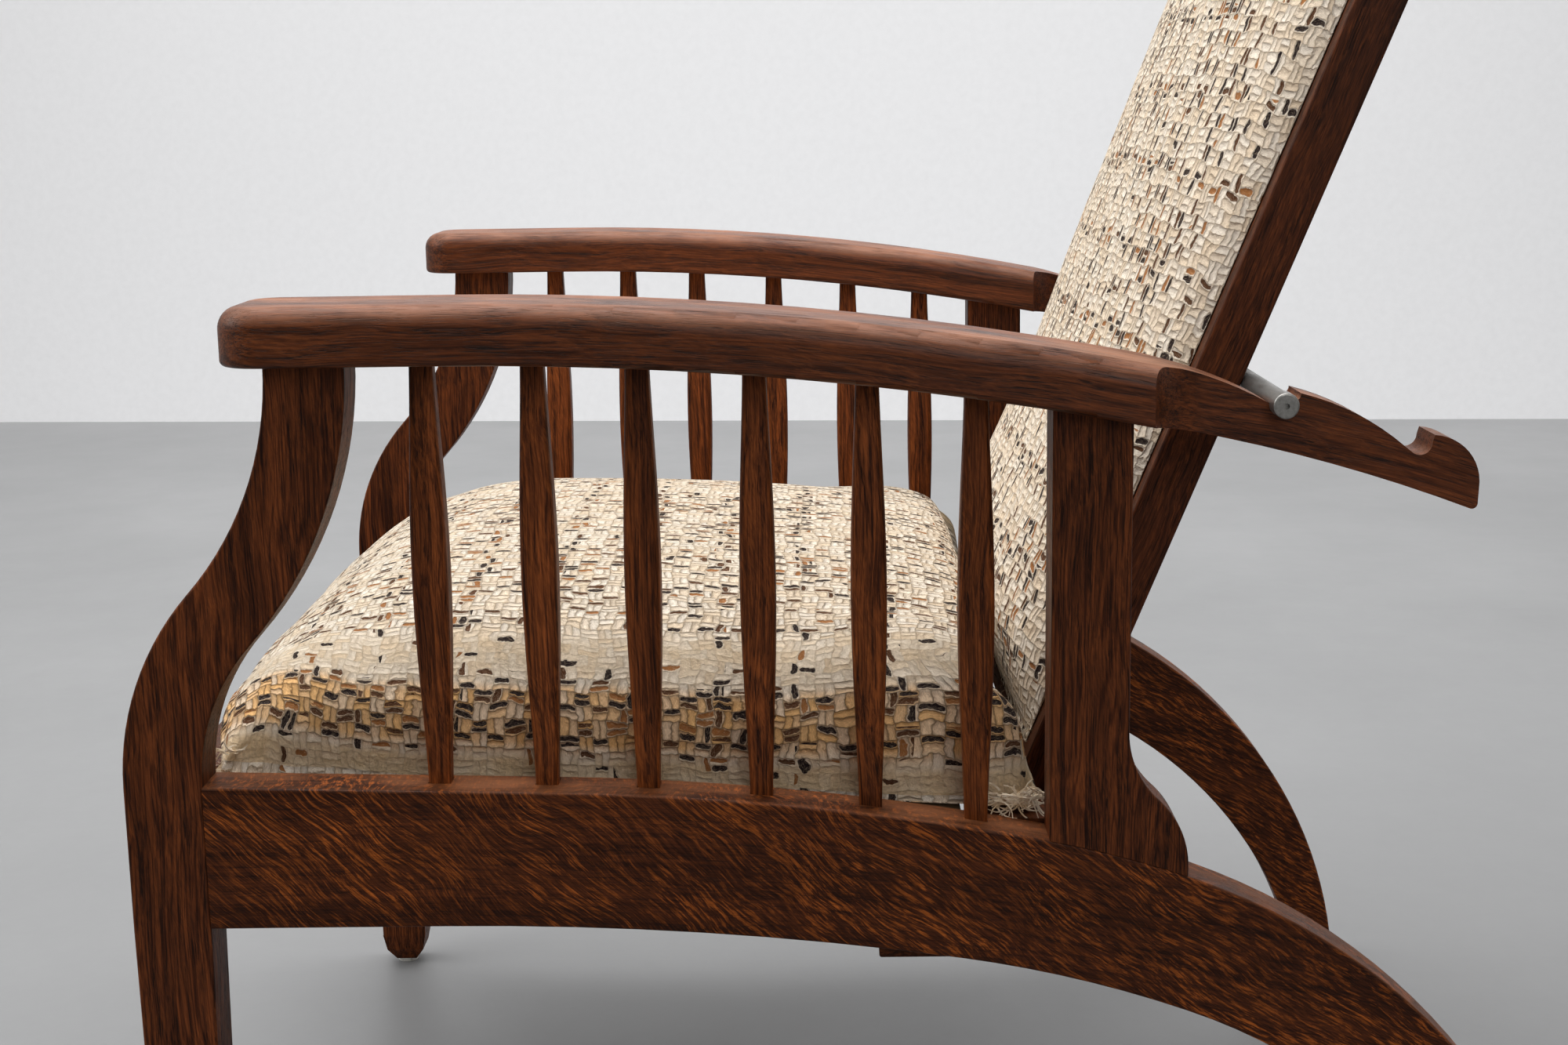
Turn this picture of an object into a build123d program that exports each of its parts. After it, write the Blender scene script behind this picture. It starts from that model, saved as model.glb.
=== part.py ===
from build123d import *
import os
from math import acos, asin, atan2, cos, degrees, hypot, radians, sin, sqrt, tan

os.makedirs("parts", exist_ok=True)

# All lengths are millimetres. X runs to the sitter's left, Y to the back and Z up.
# The left half is drawn and the right half is its mirror image.

# Driving dimensions of the frame
frame_width = 670  # over the outer faces of the legs and rails
board = 31.5  # thickness of legs, rails, posts and racks
glue_gap = 0.1  # round each tenon in its mortise
mortise_gap = 0.3  # below the end of each tenon
running_gap = 0.3  # between pieces that move past each other
arris = 1.5  # softened edge of the oak boards
overrun = 5  # by which cutters pass the faces that they cut

# The seat: the rails, the posts, the back and the racks take their places from it
seat_set_back = 36  # front of the seat frame from the front of the leg
seat_height = 363  # underside of the cushion at the front
seat_pitch = 3.2
seat_length = 428
seat_rear = seat_set_back + seat_length

# Front leg: an ogee that carries the arm behind the foot
arm_height = 600  # underside of the arm at the front
leg_width = 43.5
leg_set_back = 91  # of the leg's top from its foot
ogee_upper_share = 0.595  # of both radii of the leg's middle line
foot_width = 36.5
foot_set_back = 3
foot_height = 27  # where the foot starts to narrow
foot_knee = (27, 31, 13)  # across X and Y, and its height
foot_sole = (16, 17)  # across X and Y at the floor end
glide_height = 3
glide_diameter = 17
leg_tenon = (12, 26, 14)

# Side rail, one board with the bowed rear leg
rail_rise = 3.6  # over the seat, at the front
rail_depth = 81.8
rail_top_pitch = 1.5
rail_top_stop = 236  # by which the upper edge's straight start is shorter than the seat
rail_top_first_radius = 1620
rail_top_first_turn = 9.8
rail_top_second_radius = 496
rail_top_second_turn = 11.5
rail_top_last_radius = 358
rail_bottom_pitch = 0
rail_bottom_stop = 297
rail_bottom_first_radius = 1890
rail_bottom_first_turn = 8.7
rail_bottom_second_radius = 650
rail_bottom_second_turn = 11.5
leg_swell = 29.5  # by which the lower edge's last radius is smaller than the upper one's
rail_tenon = (12, 22, 50)  # X, Y and Z, into the front leg

# Rear post and its glued heel
post_clearance = 45.3  # from the seat frame's end to the post
post_width = 43
post_tenon = (12, 26, 14)
heel_width = 33.5
heel_height = 77
heel_rise = 29  # top of the flare over the seat's height

# Arm with its rack
arm_width = 80.4
arm_overhang = 21.4  # outside the legs
arm_thickness = 31.5
arm_nose = 22.3  # ahead of the leg's top
arm_corner = 25
arm_bend_set_back = 184
arm_bend_radius = 1900
arm_edge = 12
arm_lower_edge = 3
cove_reach = 80.7  # from the post's front to the end of the cove, where the arm becomes the rack
cove_length = 30
rack_start_reach = 65.7
rack_start_bulge = 1.7
rack_bend_reach = 90.7  # where the rack's underside starts to bend more
rack_bend_radius = 912

# Support rod and the notches that hold it
rod_diameter = 12.2
cap_diameter = 13.8
cap_length = 12.5
cap_edge = 1.2
cap_gap = 0.8  # from the rack to the cap
cap_centre_diameter = 3.2
cap_centre_depth = 2.5
rod_tenon_diameter = 7
rod_tenon_length = 8
notch_reach = 120.2  # from the post's front
notch_drop = 28  # below the arm's underside
notch_pitch = 74
notch_step = 22.4
notch_opening = 33  # lean of the notch's rear wall, so that the rod lifts out along the back
notch_wall = 6
hump_rise = 5
hump_nose = 4
hump_bulge = 2.8
near_lip = (14, 3.2)  # ahead of and above the second notch's centre
far_lip = (7.6, 4.2)
tip_reach = (31.9, 24.6)
tip_bulge = 8
tip_toe = 0.5
tip_round = 3

# Spindles
spindle_shares = (0.1002, 0.2595, 0.4098, 0.5774, 0.7391, 0.8955)  # of the way from leg to post
spindle_end = 12.7
spindle_belly = 19.8
spindle_quarter_share = 0.62  # of the swelling, at a quarter of the height
spindle_round_share = 0.24  # corner radius as a share of the width
spindle_inset = 21.4  # spindle centre line from the outer faces
spindle_tenon = 12

# Back frame, which leans on the rod
back_width = 520
stile_thickness = 28  # across X
stile_depth = 27.5
pivot_clearance = 36.6  # from the seat frame's end
pivot_drop = 51  # below the seat's height
stile_length = 775
stile_top_round = 7
back_rail_height = 46
back_rail_thickness = 20
back_rail_start = 32
crest_drop = 12
back_tenon = 14
slat_count = 4
slat_height = 50
slat_thickness = 13

# Hinge of the back
pin_diameter = 10
pin_head_diameter = 16
pin_head_length = 3
pin_gap = 0.05
pin_depth = 28
washer_diameter = 24
hinge_gap = 2.5  # from the stile to its block
block_length = 44
block_height = 42

# Seat
front_rail_height = 70
front_rail_thickness = 24
front_rail_set_back = 10
front_rail_drop = 5  # below the seat's height
front_tenon = (8, 12, 46)
cross_rail_tuck = 48  # from the rail's front to the seat frame's end
cross_rail_thickness = 43
cross_rail_height = 62
cross_rail_drop = 49.5
cross_tenon = (12, 26, 28)
cross_tenon_drop = 8  # from the rail's top to the tenon's
seat_gap = 2.5  # beside the rails
seat_member = 45
seat_member_thickness = 22
seat_tenon = (20, 30, 8)
web_width = 50
web_thickness = 1.5
web_lengthwise_count = 5
web_crosswise_count = 4
web_margin = 12
web_fold = 30
cleat_width = 20
cleat_height = 20
cleat_start = 6
cleat_stop = 52  # from the cleat's rear end to the seat frame's
screw_diameter = 4
screw_head_diameter = 8
screw_head_height = 2.4
screw_length = 30
screw_shares = (0.12, 0.5, 0.88)  # along the cleat

# Seat cushion
cushion_gap = 3.5  # from the rails' inner faces to the cushion
cushion_front = 28  # front of the cushion from the front of the leg
cushion_overhang = 25  # behind the seat frame
cushion_rear_lean = 9  # of the rear face, forward towards its top
cushion_crown = 107  # over the seat, at the middle
cushion_side = 14  # over the seat, at the sides
cushion_lower_round = 9
cushion_front_share = 0.13  # height of the foremost point, of the crown
cushion_shoulder = 112  # from the foremost point back to the start of the top
cushion_shoulder_share = 0.9
cushion_front_bulge_share = 0.165  # of the height, as the other bulges
cushion_top_bulge_share = 0.14
cushion_rear_corner = 20
cushion_rear_share = 0.855
cushion_rear_low_share = 0.7
cushion_rear_bulge_share = 0.035
cushion_end_pull = 13  # drawn in at the ends, front and rear

# Back cushion
pad_width = 492
pad_start = 42
pad_end = 748
pad_toe = 78  # rise of the pad's lower wedge
pad_toe_share = 0.88
pad_depth = 52
pad_side = 12
pad_toe_bulge = 9
pad_front_bulge = 4
pad_head = 40
pad_head_share = 0.84
pad_head_bulge = 7
pad_end_share = 0.34
pad_end_lean = 6
pad_end_pull = 14

cushion_stations = (-1, -0.93, -0.75, -0.4, 0, 0.4, 0.75, 0.93, 1)  # of the half width

rail_top_height = seat_height + rail_rise
rail_bottom_height = rail_top_height - rail_depth
rail_top_run = seat_length - rail_top_stop
rail_bottom_run = seat_length - rail_bottom_stop
rail_bottom_last_radius = rail_top_last_radius - leg_swell
rail_top_bends = ((rail_top_first_radius, rail_top_first_turn), (rail_top_second_radius, rail_top_second_turn))
rail_bottom_bends = ((rail_bottom_first_radius, rail_bottom_first_turn),
                     (rail_bottom_second_radius, rail_bottom_second_turn))
post_set_back = seat_rear + post_clearance
cross_rail_top_height = seat_height - cross_rail_drop
cleat_length = seat_length - cleat_start - cleat_stop

half_frame = frame_width / 2
inner_face = half_frame - board
board_centre = half_frame - board / 2


def bow(start_y, start_z, pitch, run, bends, last_radius, floor):
    """The straight start and the falling arcs of a bowed edge, down to the floor height."""
    arcs = []
    y = start_y + run * cos(radians(pitch))
    z = start_z - run * sin(radians(pitch))
    angle = pitch
    for radius, turn in bends:
        arcs.append(((y, z), angle, radius, turn))
        y += radius * (sin(radians(angle + turn)) - sin(radians(angle)))
        z -= radius * (cos(radians(angle)) - cos(radians(angle + turn)))
        angle += turn
    last_turn = degrees(acos(cos(radians(angle)) - (z - floor) / last_radius)) - angle
    arcs.append(((y, z), angle, last_radius, last_turn))
    return {"start": (start_y, start_z), "pitch": pitch, "arcs": arcs}


def bow_end(edge):
    """The last point of a bowed edge."""
    (y, z), angle, radius, turn = edge["arcs"][-1]
    end_y = y + radius * (sin(radians(angle + turn)) - sin(radians(angle)))
    end_z = z - radius * (cos(radians(angle)) - cos(radians(angle + turn)))
    return end_y, end_z


def bow_height(edge, y):
    """Height of a bowed edge above a place along Y."""
    start_y, start_z = edge["start"]
    height = start_z - (y - start_y) * tan(radians(edge["pitch"]))
    for (arc_y, arc_z), angle, radius, turn in edge["arcs"]:
        if y > arc_y:
            here = asin(min((y - arc_y) / radius + sin(radians(angle)), 1))
            height = arc_z - radius * (cos(radians(angle)) - cos(here))
    return height


def draw_bow(edge):
    """Add a bowed edge to the line being built, and return its last point."""
    Line(edge["start"], edge["arcs"][0][0])
    for start, angle, radius, turn in edge["arcs"]:
        heading = (cos(radians(angle)), -sin(radians(angle)))
        JernArc(start=start, tangent=heading, radius=radius, arc_size=-turn)
    return bow_end(edge)


def upper_bow(start_y):
    """The upper edge of the side rail and rear leg, from the front leg back."""
    return bow(start_y, rail_top_height, rail_top_pitch, rail_top_run,
               rail_top_bends, rail_top_last_radius, glide_height)


# The upper edge decides how deep the chair is, and the frame is centred on it.
overall_depth = bow_end(upper_bow(leg_width))[0]
front_y = -overall_depth / 2

leg_rear_y = front_y + leg_width
leg_top_front_y = front_y + leg_set_back
leg_top_rear_y = leg_top_front_y + leg_width
leg_top_y = (leg_top_front_y + leg_top_rear_y) / 2
post_front_y = front_y + post_set_back
post_rear_y = post_front_y + post_width
post_y = (post_front_y + post_rear_y) / 2
arm_front_y = leg_top_front_y - arm_nose
arm_bend_y = front_y + arm_bend_set_back
cove_y = post_front_y + cove_reach
notch_1 = (post_front_y + notch_reach, arm_height - notch_drop)
notch_2 = (notch_1[0] + notch_pitch, notch_1[1] - notch_step)
pivot = (front_y + seat_rear + pivot_clearance, seat_height - pivot_drop)

rail_top = upper_bow(leg_rear_y)
rail_bottom = bow(leg_rear_y, rail_bottom_height, rail_bottom_pitch, rail_bottom_run,
                  rail_bottom_bends, rail_bottom_last_radius, glide_height)
rear_foot_y = (bow_end(rail_bottom)[0] + bow_end(rail_top)[0]) / 2
foot_y = front_y + foot_set_back + foot_width / 2

spindle_x = half_frame - spindle_inset
spindle_ys = [leg_top_rear_y + share * (post_front_y - leg_top_rear_y) for share in spindle_shares]


def arm_drop(y):
    """How far the arm's underside has fallen at a place along Y."""
    past = max(y - arm_bend_y, 0)
    return arm_bend_radius - sqrt(arm_bend_radius**2 - past**2)


def tenon(centre, size):
    """Add a tenon to the piece being built."""
    with Locations(centre):
        Box(*size)


def mortise(centre, size, axis):
    """Cut a mortise round a tenon, with more room below the tenon's end along one axis."""
    grown = [length + 2 * glue_gap for length in size]
    grown[axis] = size[axis] + 2 * mortise_gap
    with Locations(centre):
        Box(*grown, mode=Mode.SUBTRACT)


leg_tenon_centre = (board_centre, leg_top_y, arm_height + leg_tenon[2] / 2)
post_tenon_top = (board_centre, post_y, arm_height - arm_drop(post_y) + post_tenon[2] / 2)
post_tenon_low = (board_centre, post_y, bow_height(rail_top, post_y) - post_tenon[2] / 2)
rail_middle = (rail_top_height + rail_bottom_height) / 2
rail_tenon_centre = (board_centre, leg_rear_y - rail_tenon[1] / 2, rail_middle)

# Side profile of the arm and its rack, with the two notches
rod_radius = rod_diameter / 2
notch_radius = rod_radius + running_gap
tip_top = (notch_2[0] + tip_reach[0], notch_2[1] - tip_reach[1])
upper_bend_radius = arm_bend_radius + arm_thickness
arm_top_height = arm_height + arm_thickness
arm_outer = half_frame + arm_overhang
arm_inner = arm_outer - arm_width
inner_cove = inner_face - arm_inner


def cove_radius(depth):
    """Radius of a cove that runs out along the rack from a step of this depth."""
    return (cove_length**2 + depth**2) / (2 * depth)


with BuildPart() as arm_profile:
    with BuildSketch(Plane.YZ):
        with BuildLine():
            Line((arm_front_y, arm_height), (arm_bend_y, arm_height))
            under_share = (post_front_y + rack_bend_reach - arm_bend_y) / arm_bend_radius
            under_turn = degrees(asin(under_share))
            under = JernArc(start=(arm_bend_y, arm_height), tangent=(1, 0),
                            radius=arm_bend_radius, arc_size=-under_turn)
            rack_length = tip_top[0] - tip_toe - post_front_y - rack_bend_reach
            rack_turn = degrees(asin(under_share + rack_length / rack_bend_radius)) - under_turn
            rack_under = JernArc(start=under @ 1, tangent=under % 1,
                                 radius=rack_bend_radius, arc_size=-rack_turn)
            Line(rack_under @ 1, tip_top)
            lip_2 = (notch_2[0] + far_lip[0], notch_2[1] + far_lip[1])
            SagittaArc(tip_top, lip_2, -tip_bulge)
            Line(lip_2, (notch_2[0] + notch_radius, notch_2[1]))
            lip_fall = degrees(atan2(near_lip[1], near_lip[0]) + asin(notch_radius / hypot(*near_lip)))
            seat_2 = CenterArc(notch_2, notch_radius, 270 - lip_fall, 90 + lip_fall)
            lip_1 = (notch_2[0] - near_lip[0], notch_2[1] + near_lip[1])
            Line(seat_2 @ 0, lip_1)
            hump = (notch_1[0] + notch_radius + hump_nose, notch_1[1] + hump_rise)
            SagittaArc(lip_1, hump, -hump_bulge)
            floor_arc = CenterArc(notch_1, notch_radius, 180, 180 - notch_opening)
            wall = PolarLine(floor_arc @ 1, notch_wall, 90 - notch_opening)
            RadiusArc(hump, wall @ 1, hump_nose)
            rack_start_turn = degrees(asin((post_front_y + rack_start_reach - arm_bend_y) / upper_bend_radius))
            upper = JernArc(start=(arm_bend_y, arm_top_height), tangent=(1, 0),
                            radius=upper_bend_radius, arc_size=-rack_start_turn)
            SagittaArc((notch_1[0] - notch_radius, notch_1[1]), upper @ 1, -rack_start_bulge)
            Line((arm_bend_y, arm_top_height), (arm_front_y, arm_top_height))
            Line((arm_front_y, arm_top_height), (arm_front_y, arm_height))
        make_face()
    extrude(amount=arm_outer + overrun)
    fillet(arm_profile.edges().filter_by(Axis.X).sort_by(Axis.Z)[0], tip_round)

# Arm: a bent board with rounded upper edges, coved at the rear down to the rack
with BuildPart() as arm:
    with BuildSketch(Plane.YZ.offset(arm_inner)):
        with BuildLine():
            cove_turn = degrees(asin((cove_y - arm_bend_y) / arm_bend_radius))
            Line((arm_front_y, arm_height), (arm_bend_y, arm_height))
            lower = JernArc(start=(arm_bend_y, arm_height), tangent=(1, 0),
                            radius=arm_bend_radius, arc_size=-cove_turn)
            top = JernArc(start=(arm_bend_y, arm_top_height), tangent=(1, 0),
                          radius=upper_bend_radius, arc_size=-cove_turn)
            Line(lower @ 1, top @ 1)
            Line((arm_bend_y, arm_top_height), (arm_front_y, arm_top_height))
            Line((arm_front_y, arm_top_height), (arm_front_y, arm_height))
        make_face()
    extrude(amount=arm_width)
    front_corners = arm.edges().filter_by(Axis.Z).group_by(Axis.Y)[0]
    fillet(front_corners, arm_corner)
    top_faces = arm.faces().filter_by(lambda face: face.normal_at().Z > 0.9)
    rear_end = top_faces.edges().filter_by(Axis.X).sort_by(Axis.Y)[-1]
    seams = [edge for edge in top_faces.edges().filter_by(Axis.X) if abs(edge.center().Y - arm_bend_y) < arris]
    rim = [edge for edge in top_faces.edges() if edge not in seams and edge != rear_end]
    fillet(rim, arm_edge)
    bottom_faces = arm.faces().filter_by(lambda face: face.normal_at().Z < -0.9)
    low_rear = bottom_faces.edges().filter_by(Axis.X).sort_by(Axis.Y)[-1]
    low_seams = [edge for edge in bottom_faces.edges().filter_by(Axis.X)
                 if abs(edge.center().Y - arm_bend_y) < arris]
    low_rim = [edge for edge in bottom_faces.edges() if edge not in low_seams and edge != low_rear]
    fillet(low_rim, arm_lower_edge)
    with BuildSketch(Plane.XY):
        with BuildLine():
            far_y = cove_y + arm_width
            Line((arm_outer, cove_y - cove_length), (arm_outer, far_y))
            Line((arm_outer, far_y), (half_frame, far_y))
            Line((half_frame, far_y), (half_frame, cove_y))
            RadiusArc((arm_outer, cove_y - cove_length), (half_frame, cove_y), cove_radius(arm_overhang))
        make_face()
        with BuildLine():
            Line((arm_inner, cove_y - cove_length), (arm_inner, far_y))
            Line((arm_inner, far_y), (inner_face, far_y))
            Line((inner_face, far_y), (inner_face, cove_y))
            RadiusArc((arm_inner, cove_y - cove_length), (inner_face, cove_y), -cove_radius(inner_cove))
        make_face()
    extrude(amount=arm_top_height + overrun, mode=Mode.SUBTRACT)
    with BuildSketch(Plane.XY):
        with Locations((board_centre, (cove_y - arm_overhang + tip_top[0] + overrun) / 2)):
            Rectangle(board, tip_top[0] + overrun - cove_y + arm_overhang)
    extrude(amount=arm_top_height + overrun)
    add(arm_profile.part, mode=Mode.INTERSECT)
    mortise(leg_tenon_centre, leg_tenon, 2)
    mortise(post_tenon_top, post_tenon, 2)
    for spindle_y in spindle_ys:
        socket_z = arm_height - arm_drop(spindle_y)
        mortise((spindle_x, spindle_y, socket_z), (spindle_end, spindle_end, 2 * spindle_tenon), 2)

# Front leg: two arcs make the ogee, and the foot narrows to its glide
ogee_height = arm_height - rail_top_height
ogee_turn = 2 * degrees(atan2(leg_set_back, ogee_height))
both_ogee_radii = ogee_height / sin(radians(ogee_turn))
ogee_upper_radius = ogee_upper_share * both_ogee_radii
ogee_lower_radius = both_ogee_radii - ogee_upper_radius

with BuildPart() as front_leg:
    with BuildSketch(Plane.YZ.offset(inner_face)):
        with BuildLine():
            half_leg = leg_width / 2
            front_1 = JernArc(start=(leg_top_front_y, arm_height), tangent=(0, -1),
                              radius=ogee_upper_radius - half_leg, arc_size=-ogee_turn)
            front_2 = JernArc(start=front_1 @ 1, tangent=front_1 % 1,
                              radius=ogee_lower_radius + half_leg, arc_size=ogee_turn)
            rear_1 = JernArc(start=(leg_top_rear_y, arm_height), tangent=(0, -1),
                             radius=ogee_upper_radius + half_leg, arc_size=-ogee_turn)
            rear_2 = JernArc(start=rear_1 @ 1, tangent=rear_1 % 1,
                             radius=ogee_lower_radius - half_leg, arc_size=ogee_turn)
            Line(front_1 @ 0, rear_1 @ 0)
            Polyline((front_y, rail_top_height), (front_y, rail_bottom_height),
                     (front_y + foot_set_back, foot_height),
                     (front_y + foot_set_back + foot_width, foot_height),
                     (leg_rear_y, rail_bottom_height), (leg_rear_y, rail_top_height))
        make_face()
    extrude(amount=board)
    curved = front_leg.edges().filter_by(GeomType.CIRCLE)
    front_lines = front_leg.edges().filter_by(lambda edge: edge.center().Y < front_y + foot_set_back
                                              and abs(edge.tangent_at(0.5).X) < 0.5)
    fillet(curved + front_lines.filter_by(GeomType.LINE), arris)
    for low, high in (((foot_knee[0], foot_knee[1], foot_knee[2]), (board, foot_width, foot_height)),
                      ((foot_sole[0], foot_sole[1], glide_height), foot_knee)):
        for across, along, height in (low, high):
            with BuildSketch(Plane.XY.offset(height)):
                with Locations((board_centre, foot_y)):
                    Rectangle(across, along)
        loft(ruled=True)
    tenon(leg_tenon_centre, leg_tenon)
    mortise(rail_tenon_centre, rail_tenon, 1)
    front_rail_y = front_y + front_rail_set_back + front_rail_thickness / 2
    front_rail_z = seat_height - front_rail_drop - front_rail_height / 2
    mortise((inner_face + front_tenon[0] / 2, front_rail_y, front_rail_z), front_tenon, 0)

# Side rail and bowed rear leg in one board
with BuildPart() as rail_blank:
    with BuildSketch(Plane.YZ.offset(inner_face)):
        with BuildLine():
            top_end = draw_bow(rail_top)
            bottom_end = draw_bow(rail_bottom)
            Line(top_end, bottom_end)
            Line((leg_rear_y, rail_top_height), (leg_rear_y, rail_bottom_height))
        make_face()
    extrude(amount=board)

seat_plane = Plane(origin=(0, front_y + seat_set_back, seat_height), x_dir=(1, 0, 0),
                   z_dir=(0, sin(radians(seat_pitch)), cos(radians(seat_pitch))))
frame_top = -2 * web_thickness  # of the seat frame, under the webbing, in the seat's own plane
cleat_top = frame_top - seat_member_thickness
cleat_z = cleat_top - cleat_height / 2
screw_ys = [cleat_start + share * cleat_length for share in screw_shares]
screw_places = [seat_plane.from_local_coords((inner_face, y, cleat_z)) for y in screw_ys]
cross_rail_y = front_y + seat_rear - cross_rail_tuck + cross_rail_thickness / 2
cross_tenon_z = cross_rail_top_height - cross_tenon_drop - cross_tenon[2] / 2


def screw_holes(places):
    """Bore clearance holes along X for the cleat screws."""
    for place in places:
        with Locations(Location(place, (0, 90, 0))):
            Cylinder(screw_diameter / 2 + glue_gap, 2 * (screw_length + mortise_gap), mode=Mode.SUBTRACT)


with BuildPart() as side_rail:
    add(rail_blank.part)
    fillet(side_rail.edges().filter_by(GeomType.CIRCLE), arris)
    tenon(rail_tenon_centre, rail_tenon)
    mortise(post_tenon_low, post_tenon, 2)
    mortise((inner_face + cross_tenon[0] / 2, cross_rail_y, cross_tenon_z), cross_tenon, 0)
    for spindle_y in spindle_ys:
        socket_z = bow_height(rail_top, spindle_y)
        mortise((spindle_x, spindle_y, socket_z), (spindle_end, spindle_end, 2 * spindle_tenon), 2)
    hole_depth = screw_length - cleat_width + mortise_gap
    for place in screw_places:
        with Locations(Location(Vector(place) + Vector(hole_depth / 2, 0, 0), (0, 90, 0))):
            Cylinder(screw_diameter / 2 + glue_gap, hole_depth, mode=Mode.SUBTRACT)

# Rear post, which flares into its glued heel
heel_turn = 2 * degrees(atan2(heel_width, heel_height))
heel_radius = heel_height / (2 * sin(radians(heel_turn)))
heel_rear_y = post_rear_y + heel_width
post_bottom = bow_height(rail_top, heel_rear_y) - overrun
post_top = arm_height - arm_drop(post_front_y)

with BuildPart() as rear_post:
    with BuildSketch(Plane.YZ.offset(inner_face)):
        with BuildLine():
            flare = JernArc(start=(post_rear_y, seat_height + heel_rise), tangent=(0, -1),
                            radius=heel_radius, arc_size=heel_turn)
            glue_y = (flare @ 1).X
            Polyline(flare @ 1, (glue_y, post_bottom), (post_front_y, post_bottom),
                     (post_front_y, post_top), (post_rear_y, post_top), flare @ 0)
        make_face()
    extrude(amount=board)
    add(rail_blank.part, mode=Mode.SUBTRACT)
    add(arm_profile.part, mode=Mode.SUBTRACT)
    upright = rear_post.edges().filter_by(Axis.Z)
    fillet(upright.filter_by(lambda edge: edge.center().Y < post_rear_y + arris), arris)
    tenon(post_tenon_top, post_tenon)
    tenon(post_tenon_low, post_tenon)

with BuildPart() as post_heel:
    with BuildSketch(Plane.YZ.offset(inner_face)):
        with BuildLine():
            swell = JernArc(start=flare @ 1, tangent=flare % 1, radius=heel_radius, arc_size=-heel_turn)
            Polyline(swell @ 1, (heel_rear_y, post_bottom), (glue_y, post_bottom), flare @ 1)
        make_face()
    extrude(amount=board)
    add(rail_blank.part, mode=Mode.SUBTRACT)
    fillet(post_heel.edges().filter_by(GeomType.CIRCLE).group_by(Axis.Z)[-1], arris)


def spindle(y):
    """One spindle: a rounded square bar that swells to its belly and ends in plain tenons."""
    foot = bow_height(rail_top, y)
    head = arm_height - arm_drop(y)
    quarter = spindle_end + spindle_quarter_share * (spindle_belly - spindle_end)
    widths = (spindle_end, quarter, spindle_belly, quarter, spindle_end)
    with BuildPart() as piece:
        for step, width in enumerate(widths):
            with BuildSketch(Plane.XY.offset(foot + (head - foot) * step / (len(widths) - 1))):
                with Locations((spindle_x, y)):
                    RectangleRounded(width, width, width * spindle_round_share)
        loft()
        for start in (foot - spindle_tenon, head):
            with BuildSketch(Plane.XY.offset(start)):
                with Locations((spindle_x, y)):
                    RectangleRounded(spindle_end, spindle_end, spindle_end * spindle_round_share)
            extrude(amount=spindle_tenon)
    return piece


# Front and rear rails of the seat
with BuildPart() as front_seat_rail:
    with Locations((0, front_rail_y, front_rail_z)):
        Box(2 * inner_face, front_rail_thickness, front_rail_height)
    fillet(front_seat_rail.edges().filter_by(Axis.X), arris)
    for side in (-1, 1):
        tenon((side * (inner_face + front_tenon[0] / 2), front_rail_y, front_rail_z), front_tenon)

with BuildPart() as rear_seat_rail:
    with Locations((0, cross_rail_y, cross_rail_top_height - cross_rail_height / 2)):
        Box(2 * inner_face, cross_rail_thickness, cross_rail_height)
    fillet(rear_seat_rail.edges().filter_by(Axis.X), arris)
    for side in (-1, 1):
        tenon((side * (inner_face + cross_tenon[0] / 2), cross_rail_y, cross_tenon_z), cross_tenon)

# Cleats that carry the seat frame, with their screws
with BuildPart() as seat_cleat:
    with BuildSketch(seat_plane.offset(cleat_top)):
        with Locations((inner_face - cleat_width / 2, cleat_start + cleat_length / 2)):
            Rectangle(cleat_width, cleat_length)
    extrude(amount=-cleat_height)
    screw_holes(screw_places)

with BuildPart() as cleat_screws:
    head_x = inner_face - cleat_width
    for place in screw_places:
        with Locations(Location((head_x + screw_length / 2, place.Y, place.Z), (0, 90, 0))):
            Cylinder(screw_diameter / 2, screw_length)
        with Locations(Location((head_x - screw_head_height / 2, place.Y, place.Z), (0, 90, 0))):
            Cylinder(screw_head_diameter / 2, screw_head_height)
    mirror(about=Plane.YZ)

# Seat frame, two side members with two cross members tenoned between them
seat_half = inner_face - seat_gap
member_z = frame_top - seat_member_thickness / 2
cross_member_ys = (seat_member / 2, seat_length - seat_member / 2)

with BuildPart() as seat_frame_side:
    with BuildSketch(seat_plane.offset(frame_top)):
        with Locations((seat_half - seat_member / 2, seat_length / 2)):
            Rectangle(seat_member, seat_length)
    extrude(amount=-seat_member_thickness)
    for y in cross_member_ys:
        with BuildSketch(seat_plane.offset(member_z + seat_tenon[2] / 2 + glue_gap)):
            with Locations((seat_half - seat_member + (seat_tenon[0] + mortise_gap) / 2, y)):
                Rectangle(seat_tenon[0] + mortise_gap, seat_tenon[1] + 2 * glue_gap)
        extrude(amount=-seat_tenon[2] - 2 * glue_gap, mode=Mode.SUBTRACT)


def cross_member(y):
    """A cross member of the seat frame with its two tenons."""
    span = 2 * (seat_half - seat_member)
    with BuildPart() as piece:
        with BuildSketch(seat_plane.offset(frame_top)):
            with Locations((0, y)):
                Rectangle(span, seat_member)
        extrude(amount=-seat_member_thickness)
        with BuildSketch(seat_plane.offset(member_z + seat_tenon[2] / 2)):
            with Locations((0, y)):
                Rectangle(span + 2 * seat_tenon[0], seat_tenon[1])
        extrude(amount=-seat_tenon[2])
    return piece


seat_frame_front = cross_member(cross_member_ys[0])
seat_frame_rear = cross_member(cross_member_ys[1])

# Webbing: lengthwise bands lie on the frame, and crosswise bands lie over them with folded ends
web_pitch = 2 * (seat_half - seat_member) / web_lengthwise_count
with BuildPart() as webbing_lengthwise:
    with BuildSketch(seat_plane.offset(frame_top)):
        with Locations((0, seat_length / 2)):
            with GridLocations(web_pitch, web_pitch, web_lengthwise_count, 1):
                Rectangle(web_width, seat_length - 2 * web_margin)
    extrude(amount=web_thickness)

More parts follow.
